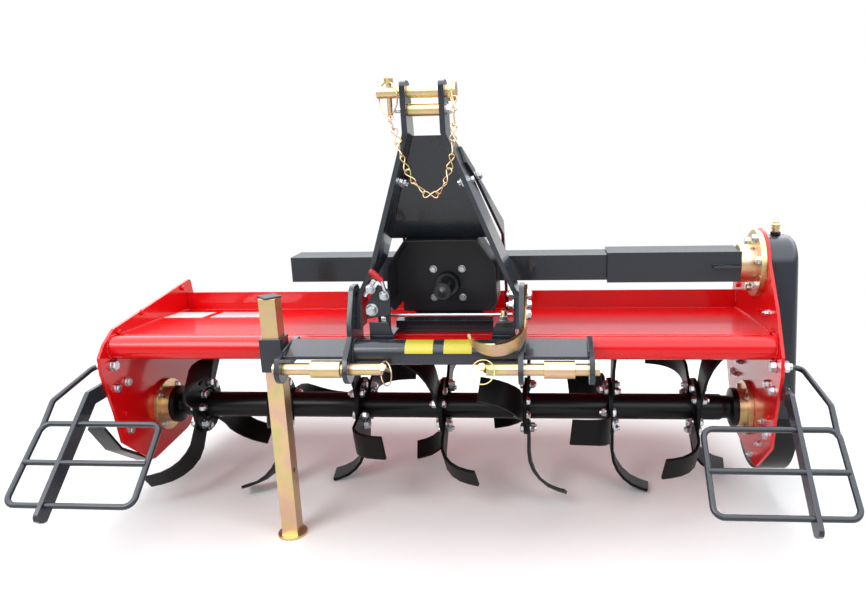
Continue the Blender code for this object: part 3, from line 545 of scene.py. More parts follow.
# Bearing and drive flange bolts
boltCircles = {  # how far in from the hood's ends, radius, count, degrees of the first
    "bearing": (0.012, 0.062, 4, 45.0),
    "driveFlange": (0.014, 0.068, 6, 15.0),
}
depth, *circle = boltCircles["bearing"]
for side, word in sides:
    bolts(f"bearingBolts{word}", "small",
          ring((side * (insideX - depth), rotorAxis.y, rotorAxis.z), (-side, 0, 0), (0, 1, 0), *circle))
flangeMiddle = middleOf("drive_flange")
depth, *circle = boltCircles["driveFlange"]
bolts("driveFlangeBolts", "medium",
      ring((insideX - depth, flangeMiddle.y, flangeMiddle.z), (-1, 0, 0), (0, 1, 0), *circle))

# Blade bolts: two through each blade's root, heads on the flange and nuts on the blade
bladeBolts = {
    "blades": 4,  # on each flange
    "first": -30.0,  # degrees of the first flange's first blade
    "step": 26.0,  # degrees from flange to flange
    "radius": 0.062,
    "apart": 17.0,  # degrees each side of the blade's middle
    "flangeFace": 0.005,
    "bladeFace": 0.0125,
}
heads, nuts = [], []
for i, node in enumerate(tineSets):
    hub = Vector((middleOf(node).x, rotorAxis.y, rotorAxis.z))
    for k in range(bladeBolts["blades"]):
        side = 1 if k % 2 else -1
        middle = bladeBolts["first"] + bladeBolts["step"] * i + 360.0 / bladeBolts["blades"] * k
        for lean in (-bladeBolts["apart"], bladeBolts["apart"]):
            angle = math.radians(middle + lean)
            centre = hub + Vector((0.0, math.sin(angle), -math.cos(angle))) * bladeBolts["radius"]
            heads.append((centre - Vector((side * bladeBolts["flangeFace"], 0, 0)), (-side, 0, 0)))
            nuts.append((centre + Vector((side * bladeBolts["bladeFace"], 0, 0)), (side, 0, 0)))
bolts("bladeBoltHeads", "medium", heads, "rotor")
bolts("bladeBoltNuts", "mediumNut", nuts, "rotor")

# Shield bolts round the input boss
shieldBolts = {"sheet": 0.003, "across": 0.037, "up": 0.0375}
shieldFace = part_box("pto_shield")[1].y - shieldBolts["sheet"]
bolts("shieldBolts", "shield",
      [((hitchX + x * shieldBolts["across"], shieldFace, inputAxis.z + z * shieldBolts["up"]), (0, -1, 0))
       for x in (-1, 1) for z in (-1, 1)])

# Mast bolts: both bars lean, and so do the faces that their bolts sit on
mastLook = {
    "lean": 20.2,  # degrees between a bar's face and the upright
    "outer": [  # x from the hitch's middle, back, up, size
        (0.0940, 0.175, 0.4220, "medium"), (0.0862, 0.115, 0.4180, "small")],
    "inner": [(0.0746, 0.106, 0.4150, "mediumNut"), (0.0732, 0.082, 0.4190, "smallNut")],
}
lean = math.radians(mastLook["lean"])
for side, word in sides:
    outward = Vector((side * math.cos(lean), 0.0, math.sin(lean)))
    for label, way in (("outer", outward), ("inner", -outward)):
        for x, back, up, size in mastLook[label]:
            seat = spot(hitchX + side * x, back, up)
            bolts(f"mastBolt{word}.{label}.{size}", size, [(seat, way)])


# Turned pieces, bars and wires
def barrel(bm, start, way, profile, corners=24, turn=0.0):
    # Adds a turned piece: profile rows are the distance from its start and the radius there
    way = Vector(way).normalized()
    across = way.orthogonal().normalized()
    other = way.cross(across)
    angles = [turn + 2 * math.pi * k / corners for k in range(corners)]
    rings = []
    for along, radius in profile:
        centre = Vector(start) + way * along
        rings.append([bm.verts.new(centre + (across * math.cos(angle) + other * math.sin(angle)) * radius)
                      for angle in angles])
    for lower, upper in zip(rings, rings[1:]):
        for k in range(corners):
            j = (k + 1) % corners
            bm.faces.new((lower[k], lower[j], upper[j], upper[k]))
    bm.faces.new(rings[0][::-1])
    bm.faces.new(rings[-1])


def bar(bm, start, end, radius, corners=20):
    way = Vector(end) - Vector(start)
    edge = min(radius * 0.2, 0.001)
    barrel(bm, start, way, [(0.0, radius - edge), (edge, radius), (way.length - edge, radius),
                            (way.length, radius - edge)], corners)


def block(bm, low, high):
    size = Matrix.Diagonal((high - low).to_4d())
    middle = Matrix.Translation((low + high) / 2)
    bmesh.ops.create_cube(bm, size=1.0, matrix=middle @ size)


def slab(bm, outline, thickness):
    # A flat plate from its corners, thickened along a vector
    thickness = Vector(thickness)
    near = [bm.verts.new(corner) for corner in outline]
    far = [bm.verts.new(Vector(corner) + thickness) for corner in outline]
    bm.faces.new(near[::-1])
    bm.faces.new(far)
    for k in range(len(near)):
        j = (k + 1) % len(near)
        bm.faces.new((near[k], near[j], far[j], far[k]))


def softened(piece, width):
    return settled(bevelled(piece, width))


def wire(name, lines, radius, material):
    # Round wire along lines, each given as its points and whether it closes
    curve = bpy.data.curves.new(name, "CURVE")
    curve.dimensions = "3D"
    curve.bevel_depth = radius
    curve.bevel_resolution = 3
    curve.use_fill_caps = True
    for points, closed in lines:
        spline = curve.splines.new("POLY")
        spline.points.add(len(points) - 1)
        for item, place in zip(spline.points, points):
            item.co = (*place, 1.0)
        spline.use_cyclic_u = closed
    holder = linked(name + ".line", curve)
    mesh = evaluatedMesh(holder)
    bpy.data.objects.remove(holder)
    bpy.data.curves.remove(curve)
    mesh.shade_smooth()
    mesh.set_sharp_from_angle(angle=math.radians(edgeLook["wireSharpFrom"]))
    return asPiece(name, mesh, material, "frame")


def hoop(centre, first, second, radius, points=48, start=0.0, end=360.0):
    # Points round a circle that lies along two directions
    whole = abs(end - start) >= 360.0
    count = points if whole else points + 1
    angles = [math.radians(start + (end - start) * k / points) for k in range(count)]
    first, second = Vector(first).normalized(), Vector(second).normalized()
    return [Vector(centre) + (first * math.cos(angle) + second * math.sin(angle)) * radius
            for angle in angles]


def roundedLine(corners, radius, closed=False, steps=6):
    # Points along a line whose corners are bent to a radius
    corners = [Vector(corner) for corner in corners]
    points = []
    for k, corner in enumerate(corners):
        if not closed and k in (0, len(corners) - 1):
            points.append(corner)
            continue
        before = (corners[k - 1] - corner).normalized()
        after = (corners[(k + 1) % len(corners)] - corner).normalized()
        half = before.angle(after) / 2
        centre = corner + (before + after).normalized() * (radius / math.sin(half))
        start = (corner + before * (radius / math.tan(half)) - centre).normalized()
        end = (corner + after * (radius / math.tan(half)) - centre).normalized()
        points += [centre + start.slerp(end, j / steps) * radius for j in range(steps + 1)]
    return points


# Front guards: bent round bar on an arm that stands on edge, bolted flat on the side plate
guardLook = {
    "outer": 0.098,  # past the deck's end
    "inner": -0.192,
    "stem": 0.073,
    "flare": 0.006,  # how much further out the lower corner is
    "crossPast": 0.002,
    "stemInside": 0.003,
    "bar": 0.007,
    "bend": 0.022,
    "top": (-0.031, -0.127),  # back and up of the rails
    "middle": (-0.108, -0.189),
    "bottom": (-0.180, -0.256),
    "stemLine": [(0.150, -0.046), (0.009, -0.086), (-0.043, -0.137)],
    "arm": [(0.176, -0.067), (0.0214, -0.067), (-0.205, -0.2633), (-0.209, -0.2700), (-0.2085, -0.2790),
            (-0.201, -0.2880), (-0.190, -0.2935), (-0.181, -0.2945), (0.0387, -0.105), (0.176, -0.105)],
    "armThickness": 0.011,
    "tab": [(0.162, -0.022), (0.168, -0.028), (0.168, -0.056), (0.162, -0.062), (0.100, -0.060),
            (0.090, -0.046), (0.090, -0.030), (0.098, -0.016), (0.128, -0.012)],
    "tabThickness": 0.008,
}
top, middle, bottom = (guardLook[row] for row in ("top", "middle", "bottom"))
outerX, innerX, stemX = (insideX + guardLook[row] for row in ("outer", "inner", "stem"))
seatX, bentX = outsideX + seatGap, outerX - guardLook["stemInside"]
stemSeat, stemBend, stemEnd = guardLook["stemLine"]
rails = [(outerX, *top), (outerX + guardLook["flare"], *bottom), (innerX, *bottom), (innerX, *top)]
stem = [(seatX, *stemSeat), (stemX, *stemSeat), (bentX, *stemBend), (bentX, *stemEnd)]
cross = [(innerX, *middle), (outerX + guardLook["crossPast"], *middle)]
for side, word in sides:
    node = "guard_" + word.lower()
    placed = [[spot(side * x, back, up) for x, back, up in line] for line in (rails, stem, cross)]
    lines = [(roundedLine(placed[0], guardLook["bend"], True), True),
             (roundedLine(placed[1], guardLook["bend"]), False), (placed[2], False)]
    bars = wire(f"guardBars{word}", lines, guardLook["bar"], greyEnamel)
    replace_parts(bars, node)
    bm = bmesh.new()
    for shape in ("arm", "tab"):
        outline = [spot(side * seatX, back, up) for back, up in guardLook[shape]]
        slab(bm, outline, (side * guardLook[shape + "Thickness"], 0, 0))
    softened(fromBmesh(f"guardArm{word}", bm, greyEnamel), 0.0010)

# Linch pins: a round pin through the hitch pin, its eight-sided head and the ring that snaps round
linchPins = {
    "Top": {"start": (-0.0500, 0.030, 0.628), "end": (-0.0500, 0.030, 0.560), "radius": 0.0052,
            "middle": (-0.0530, 0.030, 0.598), "across": (0.73, -0.68, 0.0), "up": (0.0, 0.0, 1.0),
            "ring": 0.0340},
    "Left": {"start": (-0.0870, -0.024, 0.0120), "end": (-0.0860, 0.026, -0.012), "radius": 0.0050,
             "middle": (-0.0830, -0.019, -0.0035), "across": (0.62, -0.78, 0.0), "up": (0.12, 0.0, 1.0),
             "ring": 0.0280},
    "Right": {"start": (0.1370, -0.024, 0.0130), "end": (0.1400, 0.026, -0.014), "radius": 0.0050,
              "middle": (0.1375, -0.022, 0.0015), "across": (0.95, -0.30, -0.20), "up": (0.30, 0.35, 0.80),
              "ring": 0.0275},
}
linchHead = [(0.0, 0.0080), (0.0015, 0.0095), (0.0110, 0.0095), (0.0125, 0.0080)]  # along it, radius
linchPoint = (0.004, 0.45)  # the point's length, and its end as a share of the pin's radius
ringWire = 0.0015
for word, look in linchPins.items():
    start, end, radius = spot(*look["start"]), spot(*look["end"]), look["radius"]
    way = (end - start).normalized()
    length = (end - start).length
    taper, share = linchPoint
    bm = bmesh.new()
    barrel(bm, start, way, [(0.0, radius), (length - taper, radius), (length, radius * share)])
    barrel(bm, start - way * linchHead[-1][0], way, linchHead, 8, math.radians(22.5))
    fromBmesh(f"linchPin{word}", bm, yellowZinc)
    across = Vector(look["across"]).normalized()
    upward = Vector(look["up"])
    upward = (upward - across * upward.dot(across)).normalized()
    wire(f"linchRing{word}", [(hoop(spot(*look["middle"]), across, upward, look["ring"]), True)],
         ringWire, yellowZinc)

# Bolt through the spacer, and the wire that ties the chain to the top pin's head
keeperLook = {
    "mastFaces": (-0.0230, 0.0710),  # outer faces of the mast bars at the pins
    "stub": (0.0165, 0.0062),  # length and radius of the bolt's end
    "loop": 0.0224,  # radius round the pin's head
    "inset": 0.0075,  # from the head's end
    "bend": (-0.006, -0.026, -0.010),  # from the middle of the head's end
    "end": (0.0925, -0.004, 0.5830),
    "wire": 0.0012,
}
spacer = middleOf("top_spacer")
leftFace, rightFace = keeperLook["mastFaces"]
length, radius = keeperLook["stub"]
bolts("spacerNut", "mediumNut", [((rightFace, spacer.y, spacer.z), (1, 0, 0))])
bm = bmesh.new()
bar(bm, (leftFace - length, spacer.y, spacer.z), (leftFace - seatGap, spacer.y, spacer.z), radius)
fromBmesh("spacerStub", bm, zinc)
headEnd = middleOf("top_pin")
headEnd.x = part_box("top_pin")[1].x
loopMiddle = headEnd - Vector((keeperLook["inset"], 0, 0))
loop = hoop(loopMiddle, (0, -1, 0), (0, 0, -1), keeperLook["loop"], 40)
drop = [loopMiddle - Vector((0, keeperLook["loop"], 0)), headEnd + Vector(keeperLook["bend"]),
        spot(*keeperLook["end"])]
wire("keeperWire", [(loop, True), (drop, False)], keeperLook["wire"], yellowZinc)


# Keeper chain: double-loop wire links hung one in the next, by Geometry Nodes
def chainTree():
    tree, given = treeWithInputs("doubleLoopChain", {
        "Pitch": 0.0280, "Link Length": 0.0325, "Link Width": 0.0135, "Wire Radius": 0.0013})
    steps = 32  # round one link
    turn = maths(tree, "MULTIPLY", addNode(tree, "GeometryNodeInputIndex").outputs["Index"], math.tau / steps)
    along = maths(tree, "MULTIPLY", maths(tree, "COSINE", turn, 0.0),
                  maths(tree, "MULTIPLY", given["Link Length"], 0.5))
    across = maths(tree, "MULTIPLY", maths(tree, "SINE", maths(tree, "MULTIPLY", turn, 2.0), 0.0),
                   maths(tree, "MULTIPLY", given["Link Width"], 0.5))
    off = maths(tree, "MULTIPLY", maths(tree, "SINE", turn, 0.0), given["Wire Radius"])
    place = addNode(tree, "ShaderNodeCombineXYZ", {"X": across, "Y": off, "Z": along})
    circle = addNode(tree, "GeometryNodeCurvePrimitiveCircle", {"Resolution": steps, "Radius": 0.01})
    bent = addNode(tree, "GeometryNodeSetPosition",
                   {"Geometry": circle.outputs["Curve"], "Position": place.outputs["Vector"]})
    section = addNode(tree, "GeometryNodeCurvePrimitiveCircle",
                      {"Resolution": 8, "Radius": given["Wire Radius"]})
    link = addNode(tree, "GeometryNodeCurveToMesh",
                   {"Curve": bent.outputs["Geometry"], "Profile Curve": section.outputs["Curve"]})
    path = addNode(tree, "GeometryNodeMeshToCurve", {"Mesh": given["Carrier"]})
    stations = addNode(tree, "GeometryNodeCurveToPoints",
                       {"Curve": path.outputs["Curve"], "Length": given["Pitch"]}, mode="LENGTH")
    number = addNode(tree, "GeometryNodeInputIndex").outputs["Index"]
    angle = maths(tree, "ADD", maths(tree, "MULTIPLY", number, math.radians(75)), math.radians(35))
    copies = addNode(tree, "GeometryNodeInstanceOnPoints",
                     {"Points": stations.outputs["Points"], "Instance": link.outputs["Mesh"],
                      "Rotation": spun(tree, stations.outputs["Rotation"], angle)})
    smooth = addNode(tree, "GeometryNodeSetShadeSmooth", {"Geometry": copies.outputs["Instances"]})
    return closeTree(tree, given, smooth.outputs["Geometry"])


def lineMesh(name, lines):
    # Open lines of points as the edges of one mesh
    mesh = bpy.data.meshes.new(name)
    points, edges = [], []
    for line in lines:
        first = len(points)
        points += [tuple(p) for p in line]
        edges += [(first + k, first + k + 1) for k in range(len(line) - 1)]
    mesh.from_pydata(points, edges, [])
    return mesh


chainRoute = [  # x, back, up of the hanging chain from the top linch pin to the pin's head
    (-0.0480, 0.020, 0.5600), (-0.0440, 0.004, 0.5520), (-0.0395, -0.010, 0.5420),
    (-0.0313, -0.013, 0.5272), (-0.0273, -0.014, 0.4973), (-0.0207, -0.015, 0.4786),
    (-0.0159, -0.014, 0.4640), (-0.0084, -0.012, 0.4398), (0.0082, -0.012, 0.4175),
    (0.0245, -0.012, 0.3982), (0.0459, -0.012, 0.3957), (0.0638, -0.012, 0.4123),
    (0.0780, -0.012, 0.4456), (0.0867, -0.012, 0.4827), (0.0902, -0.012, 0.5245),
    (0.0922, -0.010, 0.5606), (0.0925, -0.004, 0.5830)]
grown("keeperChain", chainTree(), lineMesh("keeperChain", [[spot(*row) for row in chainRoute]]), {},
      yellowZinc)
print("pins and chain made")


# Weld beads: overlapping drops along each seam, by Geometry Nodes
def beadTree():
    tree, given = treeWithInputs("weldBeads", {"Pitch": 0.0042, "Bead Radius": 0.0035})
    drop = addNode(tree, "GeometryNodeMeshUVSphere",
                   {"Segments": 8, "Rings": 6, "Radius": given["Bead Radius"]})
    flat = addNode(tree, "GeometryNodeTransform",
                   {"Geometry": drop.outputs["Mesh"], "Scale": (1.0, 1.0, 0.72)})
    path = addNode(tree, "GeometryNodeMeshToCurve", {"Mesh": given["Carrier"]})
    stations = addNode(tree, "GeometryNodeCurveToPoints",
                       {"Curve": path.outputs["Curve"], "Length": given["Pitch"]}, mode="LENGTH")
    chance = addNode(tree, "FunctionNodeRandomValue", {2: 0.82, 3: 1.12, "Seed": 5}, data_type="FLOAT")
    copies = addNode(tree, "GeometryNodeInstanceOnPoints",
                     {"Points": stations.outputs["Points"], "Instance": flat.outputs["Geometry"],
                      "Rotation": stations.outputs["Rotation"], "Scale": chance.outputs[1]})
    smooth = addNode(tree, "GeometryNodeSetShadeSmooth", {"Geometry": copies.outputs["Instances"]})
    return closeTree(tree, given, smooth.outputs["Geometry"])


beads = beadTree()
deckLine = [(0.156, 0.0384), (0.345, 0.0268), (0.510, 0.0118)]  # back and up along the deck's upper face
seamLook = {
    "inset": 0.001,  # from a plate's face or a tube's end
    "lift": 0.001,  # off a tube's wall
    "points": 28,
    "tubeArc": (-100.0, 130.0),  # degrees from the front
    "hitchArc": (-60.0, 120.0),
    "barStart": (0.002, 0.0185),  # back and up from a clevis bar's low corner
    "barEnd": (-0.002, -0.003),  # the same from its high corner
    "foot": 0.1807,  # from the hitch's middle
    "footLine": [(0.060, 0.079), (0.078, 0.146)],
    "gusset": [(0.694, 0.2590, 0.1860), (0.757, 0.2590, 0.18096)],
    "rotorOff": 0.0065,  # each side of a flange's middle
    "rotorRadius": 0.0445,
}


def weld(name, lines, sizes, finish, body="frame"):
    grown(name, beads, lineMesh(name, lines), sizes, finish, body)


def tubeSeam(node, x, arc):
    middle = middleOf(node)
    return hoop((x, middle.y, middle.z), (0, -1, 0), (0, 0, 1), halfHeight(node) + seamLook["lift"],
                seamLook["points"], *arc)


inset = seamLook["inset"]
redSeams = [[spot(side * (insideX - inset), back, up) for back, up in deckLine] for side in (-1, 1)]
redSeams += [tubeSeam("front_tube", side * (insideX - inset), seamLook["tubeArc"]) for side in (-1, 1)]
weld("deckSeams", redSeams, {"Bead Radius": 0.0030}, redEnamel)
greySeams = []
tubeEnds = [end.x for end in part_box("hitch_tube")]
for (side, word), end in zip(sides, tubeEnds):
    greySeams.append(tubeSeam("hitch_tube", end - side * inset, seamLook["hitchArc"]))
    low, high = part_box("clevis_bar_" + word.lower())
    for x in (low.x + inset, high.x - inset):
        greySeams.append([Vector((x, corner.y + back, corner.z + up)) for corner, (back, up) in
                          ((low, seamLook["barStart"]), (high, seamLook["barEnd"]))])
    greySeams.append([spot(hitchX + side * seamLook["foot"], *row) for row in seamLook["footLine"]])
greySeams.append([spot(*row) for row in seamLook["gusset"]])
weld("frameSeams", greySeams, {"Bead Radius": 0.0028}, greyEnamel)
rotorSeams = []
for node in tineSets:
    for off in (-seamLook["rotorOff"], seamLook["rotorOff"]):
        centre = (middleOf(node).x + off, rotorAxis.y, rotorAxis.z)
        rotorSeams.append(hoop(centre, (0, 1, 0), (0, 0, 1), seamLook["rotorRadius"], 36, 0.0, 359.0))
weld("rotorSeams", rotorSeams, {"Bead Radius": 0.0030, "Pitch": 0.0050}, blackEnamel, "rotor")
bm = bmesh.new()
block(bm, spot(0.692, 0.2440, 0.178), spot(0.760, 0.2598, 0.184))
softened(fromBmesh("sleeveGusset", bm, greyEnamel), 0.0008)
print("seams made")

# Hook bolts through the strap and the hitch plate
hookLook = {
    "top": (0.107, 0.159),
    "slope": 33.0,
    "along": [0.012, 0.045, 0.078],
    "plate": 0.1806,  # from the hitch's middle to the nuts' seat
}
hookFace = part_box("shaft_hook")[1].x
plateFace = hitchX + hookLook["plate"]
slope = math.radians(hookLook["slope"])
back, up = hookLook["top"]
hookPlaces = [(back - step * math.cos(slope), up - step * math.sin(slope)) for step in hookLook["along"]]
bolts("hookBolts", "medium", [(spot(hookFace, *row), (1, 0, 0)) for row in hookPlaces])
bolts("hookNuts", "mediumNut", [(spot(plateFace, *row), (-1, 0, 0)) for row in hookPlaces[:2]])

# Input cap: the cone moulded on its end
capCone = [(0.0, 0.0195), (0.0010, 0.0185), (0.0012, 0.0130), (0.0060, 0.0045), (0.0075, 0.0015)]
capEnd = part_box("input_cap")[0].y + 0.0005
bm = bmesh.new()
barrel(bm, (inputAxis.x, capEnd, inputAxis.z), (0, -1, 0), capCone, 28)
fromBmesh("capCone", bm, blackPlastic, "input")

# Clamps that tie the gearbox frame to the hitch tube: a saddle, a gusset and an upright bolt
clampLook = {
    "places": {"Left": -0.112, "Right": 0.178},
    "back": 0.100,
    "saddle": (0.028, 0.0475, 0.0575),  # half width, foot and top above the pins
    "saddleLine": (0.0760, 0.1480),  # front and rear
    "gusset": (0.0765, 0.006, 0.090, 0.55),  # back, thickness, top, share of the half width at its top
    "stud": [(0.0, 0.0120), (0.0022, 0.0120), (0.0022, 0.0068), (0.052, 0.0068), (0.054, 0.0058)],
    "nuts": (0.0022, 0.030),
    "rod": ((-0.118, 0.1490, 0.0890), (0.196, 0.1490, 0.0890), 0.0045),
    "rodFoot": ((-0.006, 0.1430, 0.0577), (0.006, 0.1550, 0.0960)),
}
half, foot, top = clampLook["saddle"]
front, rear = clampLook["saddleLine"]
webBack, web, webTop, share = clampLook["gusset"]
for word, x in clampLook["places"].items():
    inner = half if x < hitchX else -half
    bm = bmesh.new()
    block(bm, spot(x - half, front, foot), spot(x + half, rear, top))
    slab(bm, [spot(x - inner, webBack, top), spot(x + inner, webBack, top),
              spot(x + inner * share, webBack, webTop), spot(x - inner, webBack, webTop)], (0.0, web, 0.0))
    softened(fromBmesh(f"clampSaddle{word}", bm, greyEnamel), 0.0010)
    bm = bmesh.new()
    base = spot(x, clampLook["back"], top + 0.0002)
    barrel(bm, base, (0, 0, 1), clampLook["stud"])
    fromBmesh(f"clampStud{word}", bm, yellowZinc)
    bolts(f"clampNuts{word}", "mediumNut",
          [(base + Vector((0, 0, lift)), (0, 0, 1)) for lift in clampLook["nuts"]])
bm = bmesh.new()
start, end, radius = clampLook["rod"]
bar(bm, spot(*start), spot(*end), radius)
for x in clampLook["places"].values():
    block(bm, *(spot(x + off, back, up) for off, back, up in clampLook["rodFoot"]))
fromBmesh("clampRod", bm, zinc)

# Lever with a dipped grip on the left of the shield, its link, bracket and bolts
leverLook = {
    "grip": ((-0.1300, 0.078, 0.2150), (-0.1020, 0.076, 0.1900), 0.0072),
    "handle": ((-0.1040, 0.076, 0.1915), (-0.0990, 0.082, 0.1650), 0.0045),
    "link": ((-0.1235, 0.082, 0.1900), (-0.1480, 0.084, 0.1520)),
    "bracket": [(-0.1180, 0.090, 0.1780), (-0.0900, 0.090, 0.1640), (-0.0900, 0.090, 0.1050),
                (-0.1480, 0.090, 0.0950), (-0.1480, 0.090, 0.1300)],
    "bolts": {"large": [(-0.1345, 0.0898, 0.1180)],
              "medium": [(-0.1030, 0.0898, 0.1520), (-0.1325, 0.0820, 0.1700)]},
}
start, end, radius = leverLook["grip"]
start, end = spot(*start), spot(*end)
bm = bmesh.new()
barrel(bm, start, end - start,
       [(0.0, radius * 0.6), (0.002, radius * 0.92), (0.005, radius), (0.034, radius * 0.94),
        ((end - start).length, radius * 0.8)])
fromBmesh("leverGrip", bm, redGripPlastic)
bm = bmesh.new()
start, end, radius = leverLook["handle"]
bar(bm, spot(*start), spot(*end), radius)
start, end = leverLook["link"]
bar(bm, spot(*start), spot(*end), 0.0060, 8)
fromBmesh("leverRod", bm, zinc)
bm = bmesh.new()
slab(bm, [spot(*corner) for corner in leverLook["bracket"]], (0.0, 0.006, 0.0))
softened(fromBmesh("leverBracket", bm, greyEnamel), 0.0008)
for size, seats in leverLook["bolts"].items():
    bolts(f"leverBolts.{size}", size + "Nut", [(spot(*seat), (0, -1, 0)) for seat in seats])
print("hook, clamps and lever made")


# Blank plates and films
def tubeFilm(name, x1, x2, start, end, material, steps=12):
    # A film on the front of the hitch tube between two angles above its front
    middle, radius = middleOf("hitch_tube"), halfHeight("hitch_tube")
    bm = bmesh.new()
    rows = []
    for k in range(steps + 1):
        angle = math.radians(start + (end - start) * k / steps)
        out = Vector((0.0, -math.cos(angle), math.sin(angle)))
        rows.append([[bm.verts.new(Vector((x, middle.y, middle.z)) + out * (radius + lift))
                      for lift in (seatGap, 2 * seatGap)] for x in (x1, x2)])
    for lower, upper in zip(rows, rows[1:]):
        for (i, j), (m, n) in (((0, 1), (1, 1)), ((1, 0), (0, 0)), ((0, 0), (0, 1)), ((1, 1), (1, 0))):
            bm.faces.new((lower[i][j], lower[m][n], upper[m][n], upper[i][j]))
    for row in (rows[0], rows[-1]):
        bm.faces.new((row[0][0], row[0][1], row[1][1], row[1][0]))
    fromBmesh(name, bm, material)


tubeFilm("filmLeft", -0.0455, 0.0195, 10.0, 88.0, yellowFilm)
tubeFilm("filmRight", 0.0445, 0.1095, 10.0, 88.0, yellowFilm)


def onDeck(x, back):
    # A place just over the deck behind its fold
    (y1, z1), (y2, z2) = deckLine[1:]
    return spot(x, back, z1 + (z2 - z1) * (back - y1) / (y2 - y1) + 2 * seatGap)


def deckPlate(name, x1, x2, back1, back2, thickness, material):
    bm = bmesh.new()
    outline = [onDeck(x, back) for x, back in ((x1, back1), (x2, back1), (x2, back2), (x1, back2))]
    slab(bm, outline, (0.0, 0.0, thickness))
    fromBmesh(name, bm, material)


deckPlate("whitePlate", -0.811, -0.700, 0.362, 0.452, 0.0004, whiteFilm)
deckPlate("ratingPlate", -0.676, -0.502, 0.362, 0.452, 0.0010, ratingPlate)
print("plates made")

# Stand: cap on the top of its tube
standMiddle = jointPlaces["stand_slide"]
capRadius = 0.0205 * math.sqrt(2)  # half its side, out to its corners
bm = bmesh.new()
barrel(bm, (standMiddle.x, standMiddle.y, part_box("stand_leg")[1].z - 0.0005), (0, 0, 1),
       [(0.0, capRadius), (0.0030, capRadius), (0.0042, capRadius * 0.95)], 4, math.radians(45))
fromBmesh("standCap", bm, blackPlastic, "stand")

# Breather on the chain case
breatherFoot = middleOf("case_breather")
breatherFoot.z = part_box("case_breather")[0].z
bm = bmesh.new()
barrel(bm, breatherFoot, (0, 0, 1), [(0.0, 0.0125), (0.0070, 0.0125), (0.0080, 0.0115)], 6)
softened(fromBmesh("breatherNut", bm, blackEnamel), 0.0006)
bm = bmesh.new()
rows = [(0.0082, 0.0090), (0.0120, 0.0090), (0.0122, 0.0072), (0.0150, 0.0072), (0.0152, 0.0104),
        (0.0185, 0.0104), (0.0187, 0.0080), (0.0215, 0.0080), (0.0217, 0.0110), (0.0265, 0.0110),
        (0.0280, 0.0095), (0.0290, 0.0072), (0.0325, 0.0068), (0.0335, 0.0052)]
barrel(bm, breatherFoot, (0, 0, 1), rows)
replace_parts(fromBmesh("breatherStack", bm, yellowZinc), "case_breather")

# Gearbox: filler plug on its top, cover bolts behind and bolts of the side flanges
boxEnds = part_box("gearbox")
boxHigh, boxMiddle = boxEnds[1], middleOf("gearbox")
bolts("gearboxRear", "small",
      ring((hitchX, boxHigh.y, inputAxis.z), (0, 1, 0), (1, 0, 0), 0.052, 8, 22.5))
bolts("gearboxPlug", "large", [((hitchX + 0.030, boxMiddle.y + 0.030, boxHigh.z), (0, 0, 1))])
for (side, word), end in zip(sides, boxEnds):
    beam = middleOf("drive_beam_" + word.lower())
    bolts(f"gearboxSide{word}", "small",
          [((end.x, beam.y + y, beam.z + z), (side, 0, 0))
           for y in (-0.026, 0.026) for z in (-0.0445, 0.0445)])

# Chain case: filler and level plugs, and the bolts of its outer cover
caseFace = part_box("chain_case")[1].x
bolts("caseCover", "small", ring((caseFace, rotorAxis.y, rotorAxis.z), (1, 0, 0), (0, 1, 0), 0.085, 6, 30.0))
bolts("casePlugs", "large", [((caseFace, rotorAxis.y + 0.03, rotorAxis.z + 0.18), (1, 0, 0)),
                             ((caseFace, flangeMiddle.y, flangeMiddle.z - 0.02), (1, 0, 0))])

# Grease nipples on the bearings
lean = math.radians(35)
way = Vector((0.0, -math.sin(lean), math.cos(lean)))
nipple = [(0.0, 0.0042), (0.0060, 0.0042), (0.0062, 0.0026), (0.0090, 0.0026), (0.0105, 0.0032),
          (0.0120, 0.0026), (0.0128, 0.0012)]
for side, word in sides:
    node = "bearing_" + word.lower()
    start = Vector((middleOf(node).x, rotorAxis.y, rotorAxis.z)) + way * (halfHeight(node) - 0.002)
    bm = bmesh.new()
    barrel(bm, start, way, nipple, 12)
    fromBmesh(f"greaseNipple{word}", bm, yellowZinc)

# Rear board: hinge rod ends with their washers and nuts
hinge = jointPlaces["board_hinge"]
for side, word in sides:
    bolts(f"hingeNut{word}", "mediumNut",
          [((side * (outsideX + seatGap), hinge.y, hinge.z), (side, 0, 0))])
print("small parts made")


# Stage
stageLook = {
    "floor": 40.0,
    "paper": "#FAFAFA",
    "near": 1.1,  # metres from the middle up to which the floor takes shadows
    "far": 2.6,  # metres from which it is plain white
}


def makeStage():
    mesh = bpy.data.meshes.new("floor")
    half = stageLook["floor"] / 2
    corners = [(-half, -half, 0), (half, -half, 0), (half, half, 0), (-half, half, 0)]
    mesh.from_pydata(corners, [], [(0, 1, 2, 3)])
    floor = linked("floor", mesh)
    paper, tree, shader, place = newMaterial(
        "paleFloor", Base_Color=fromHex(stageLook["paper"]), Roughness=0.9)
    distance = addNode(tree, "ShaderNodeVectorMath", {0: place}, operation="LENGTH")
    share = addNode(tree, "ShaderNodeMapRange",
                    {"Value": distance.outputs["Value"], "From Min": stageLook["near"],
                     "From Max": stageLook["far"]}, interpolation_type="SMOOTHSTEP")
    plain = addNode(tree, "ShaderNodeEmission", {"Color": (1.0, 1.0, 1.0, 1.0), "Strength": 1.0})
    mixed = addNode(tree, "ShaderNodeMixShader",
                    {0: share.outputs["Result"], 1: shader.outputs["BSDF"], 2: plain.outputs["Emission"]})
    tree.links.new(mixed.outputs[0], tree.nodes["Material Output"].inputs["Surface"])
    mesh.materials.append(paper)


makeStage()

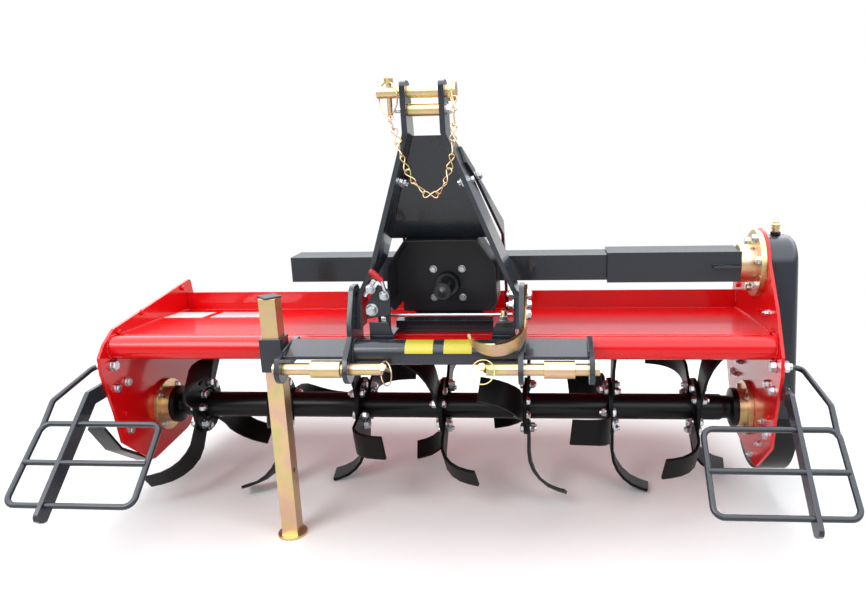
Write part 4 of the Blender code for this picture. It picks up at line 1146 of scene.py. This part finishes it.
lamps = {  # place, size, watts, and whether polished faces mirror it
    "key": ((-2.2, -3.0, 3.4), 2.2, 105.0, True),
    "fill": ((3.2, -2.6, 2.2), 2.6, 60.0, False),
    "top": ((0.0, 0.4, 3.6), 3.4, 100.0, False),
    "back": ((0.6, 3.4, 2.2), 2.2, 40.0, False),
}
lampAim = Vector((0, 0, 0.5))
for name, (place, size, watts, mirrored) in lamps.items():
    data = bpy.data.lights.new(name, "AREA")
    data.size = size
    data.energy = watts
    lamp = linked(name, data)
    lamp.location = place
    lamp.visible_glossy = mirrored
    lamp.rotation_euler = (lampAim - Vector(place)).to_track_quat("-Z", "Y").to_euler()

skyLook = {
    "soft": "#EEF2F6",  # what lights the dull faces
    "softStrength": 0.55,
    "colour": "#F1F5FA",  # what polished faces mirror: a bright sky above, a dim one near the horizon
    "horizon": 0.10,
    "above": 0.55,
    "dim": 0.55,
    "bright": 4.6,
}
world = bpy.data.worlds.new("studio")
world.use_nodes = True
tree = world.node_tree
soft = tree.nodes["Background"]
soft.inputs["Color"].default_value = fromHex(skyLook["soft"])
soft.inputs["Strength"].default_value = skyLook["softStrength"]
white = addNode(tree, "ShaderNodeBackground", {"Color": (1.0, 1.0, 1.0, 1.0), "Strength": 1.0})
way = addNode(tree, "ShaderNodeTexCoord").outputs["Generated"]
height = addNode(tree, "ShaderNodeSeparateXYZ", {"Vector": way}).outputs["Z"]
glow = addNode(tree, "ShaderNodeMapRange",
               {"Value": height, "From Min": skyLook["horizon"], "From Max": skyLook["above"],
                "To Min": skyLook["dim"], "To Max": skyLook["bright"]}, interpolation_type="SMOOTHSTEP")
mirrored = addNode(tree, "ShaderNodeBackground",
                   {"Color": fromHex(skyLook["colour"]), "Strength": glow.outputs["Result"]})
ray = addNode(tree, "ShaderNodeLightPath")
seen = addNode(tree, "ShaderNodeMixShader",
               {0: ray.outputs["Is Glossy Ray"], 1: soft.outputs[0], 2: mirrored.outputs[0]})
mixed = addNode(tree, "ShaderNodeMixShader",
                {0: ray.outputs["Is Camera Ray"], 1: seen.outputs[0], 2: white.outputs[0]})
tree.links.new(mixed.outputs[0], tree.nodes["World Output"].inputs["Surface"])
bpy.context.scene.world = world
bpy.context.scene.view_settings.view_transform = "Standard"

print("scene ready")
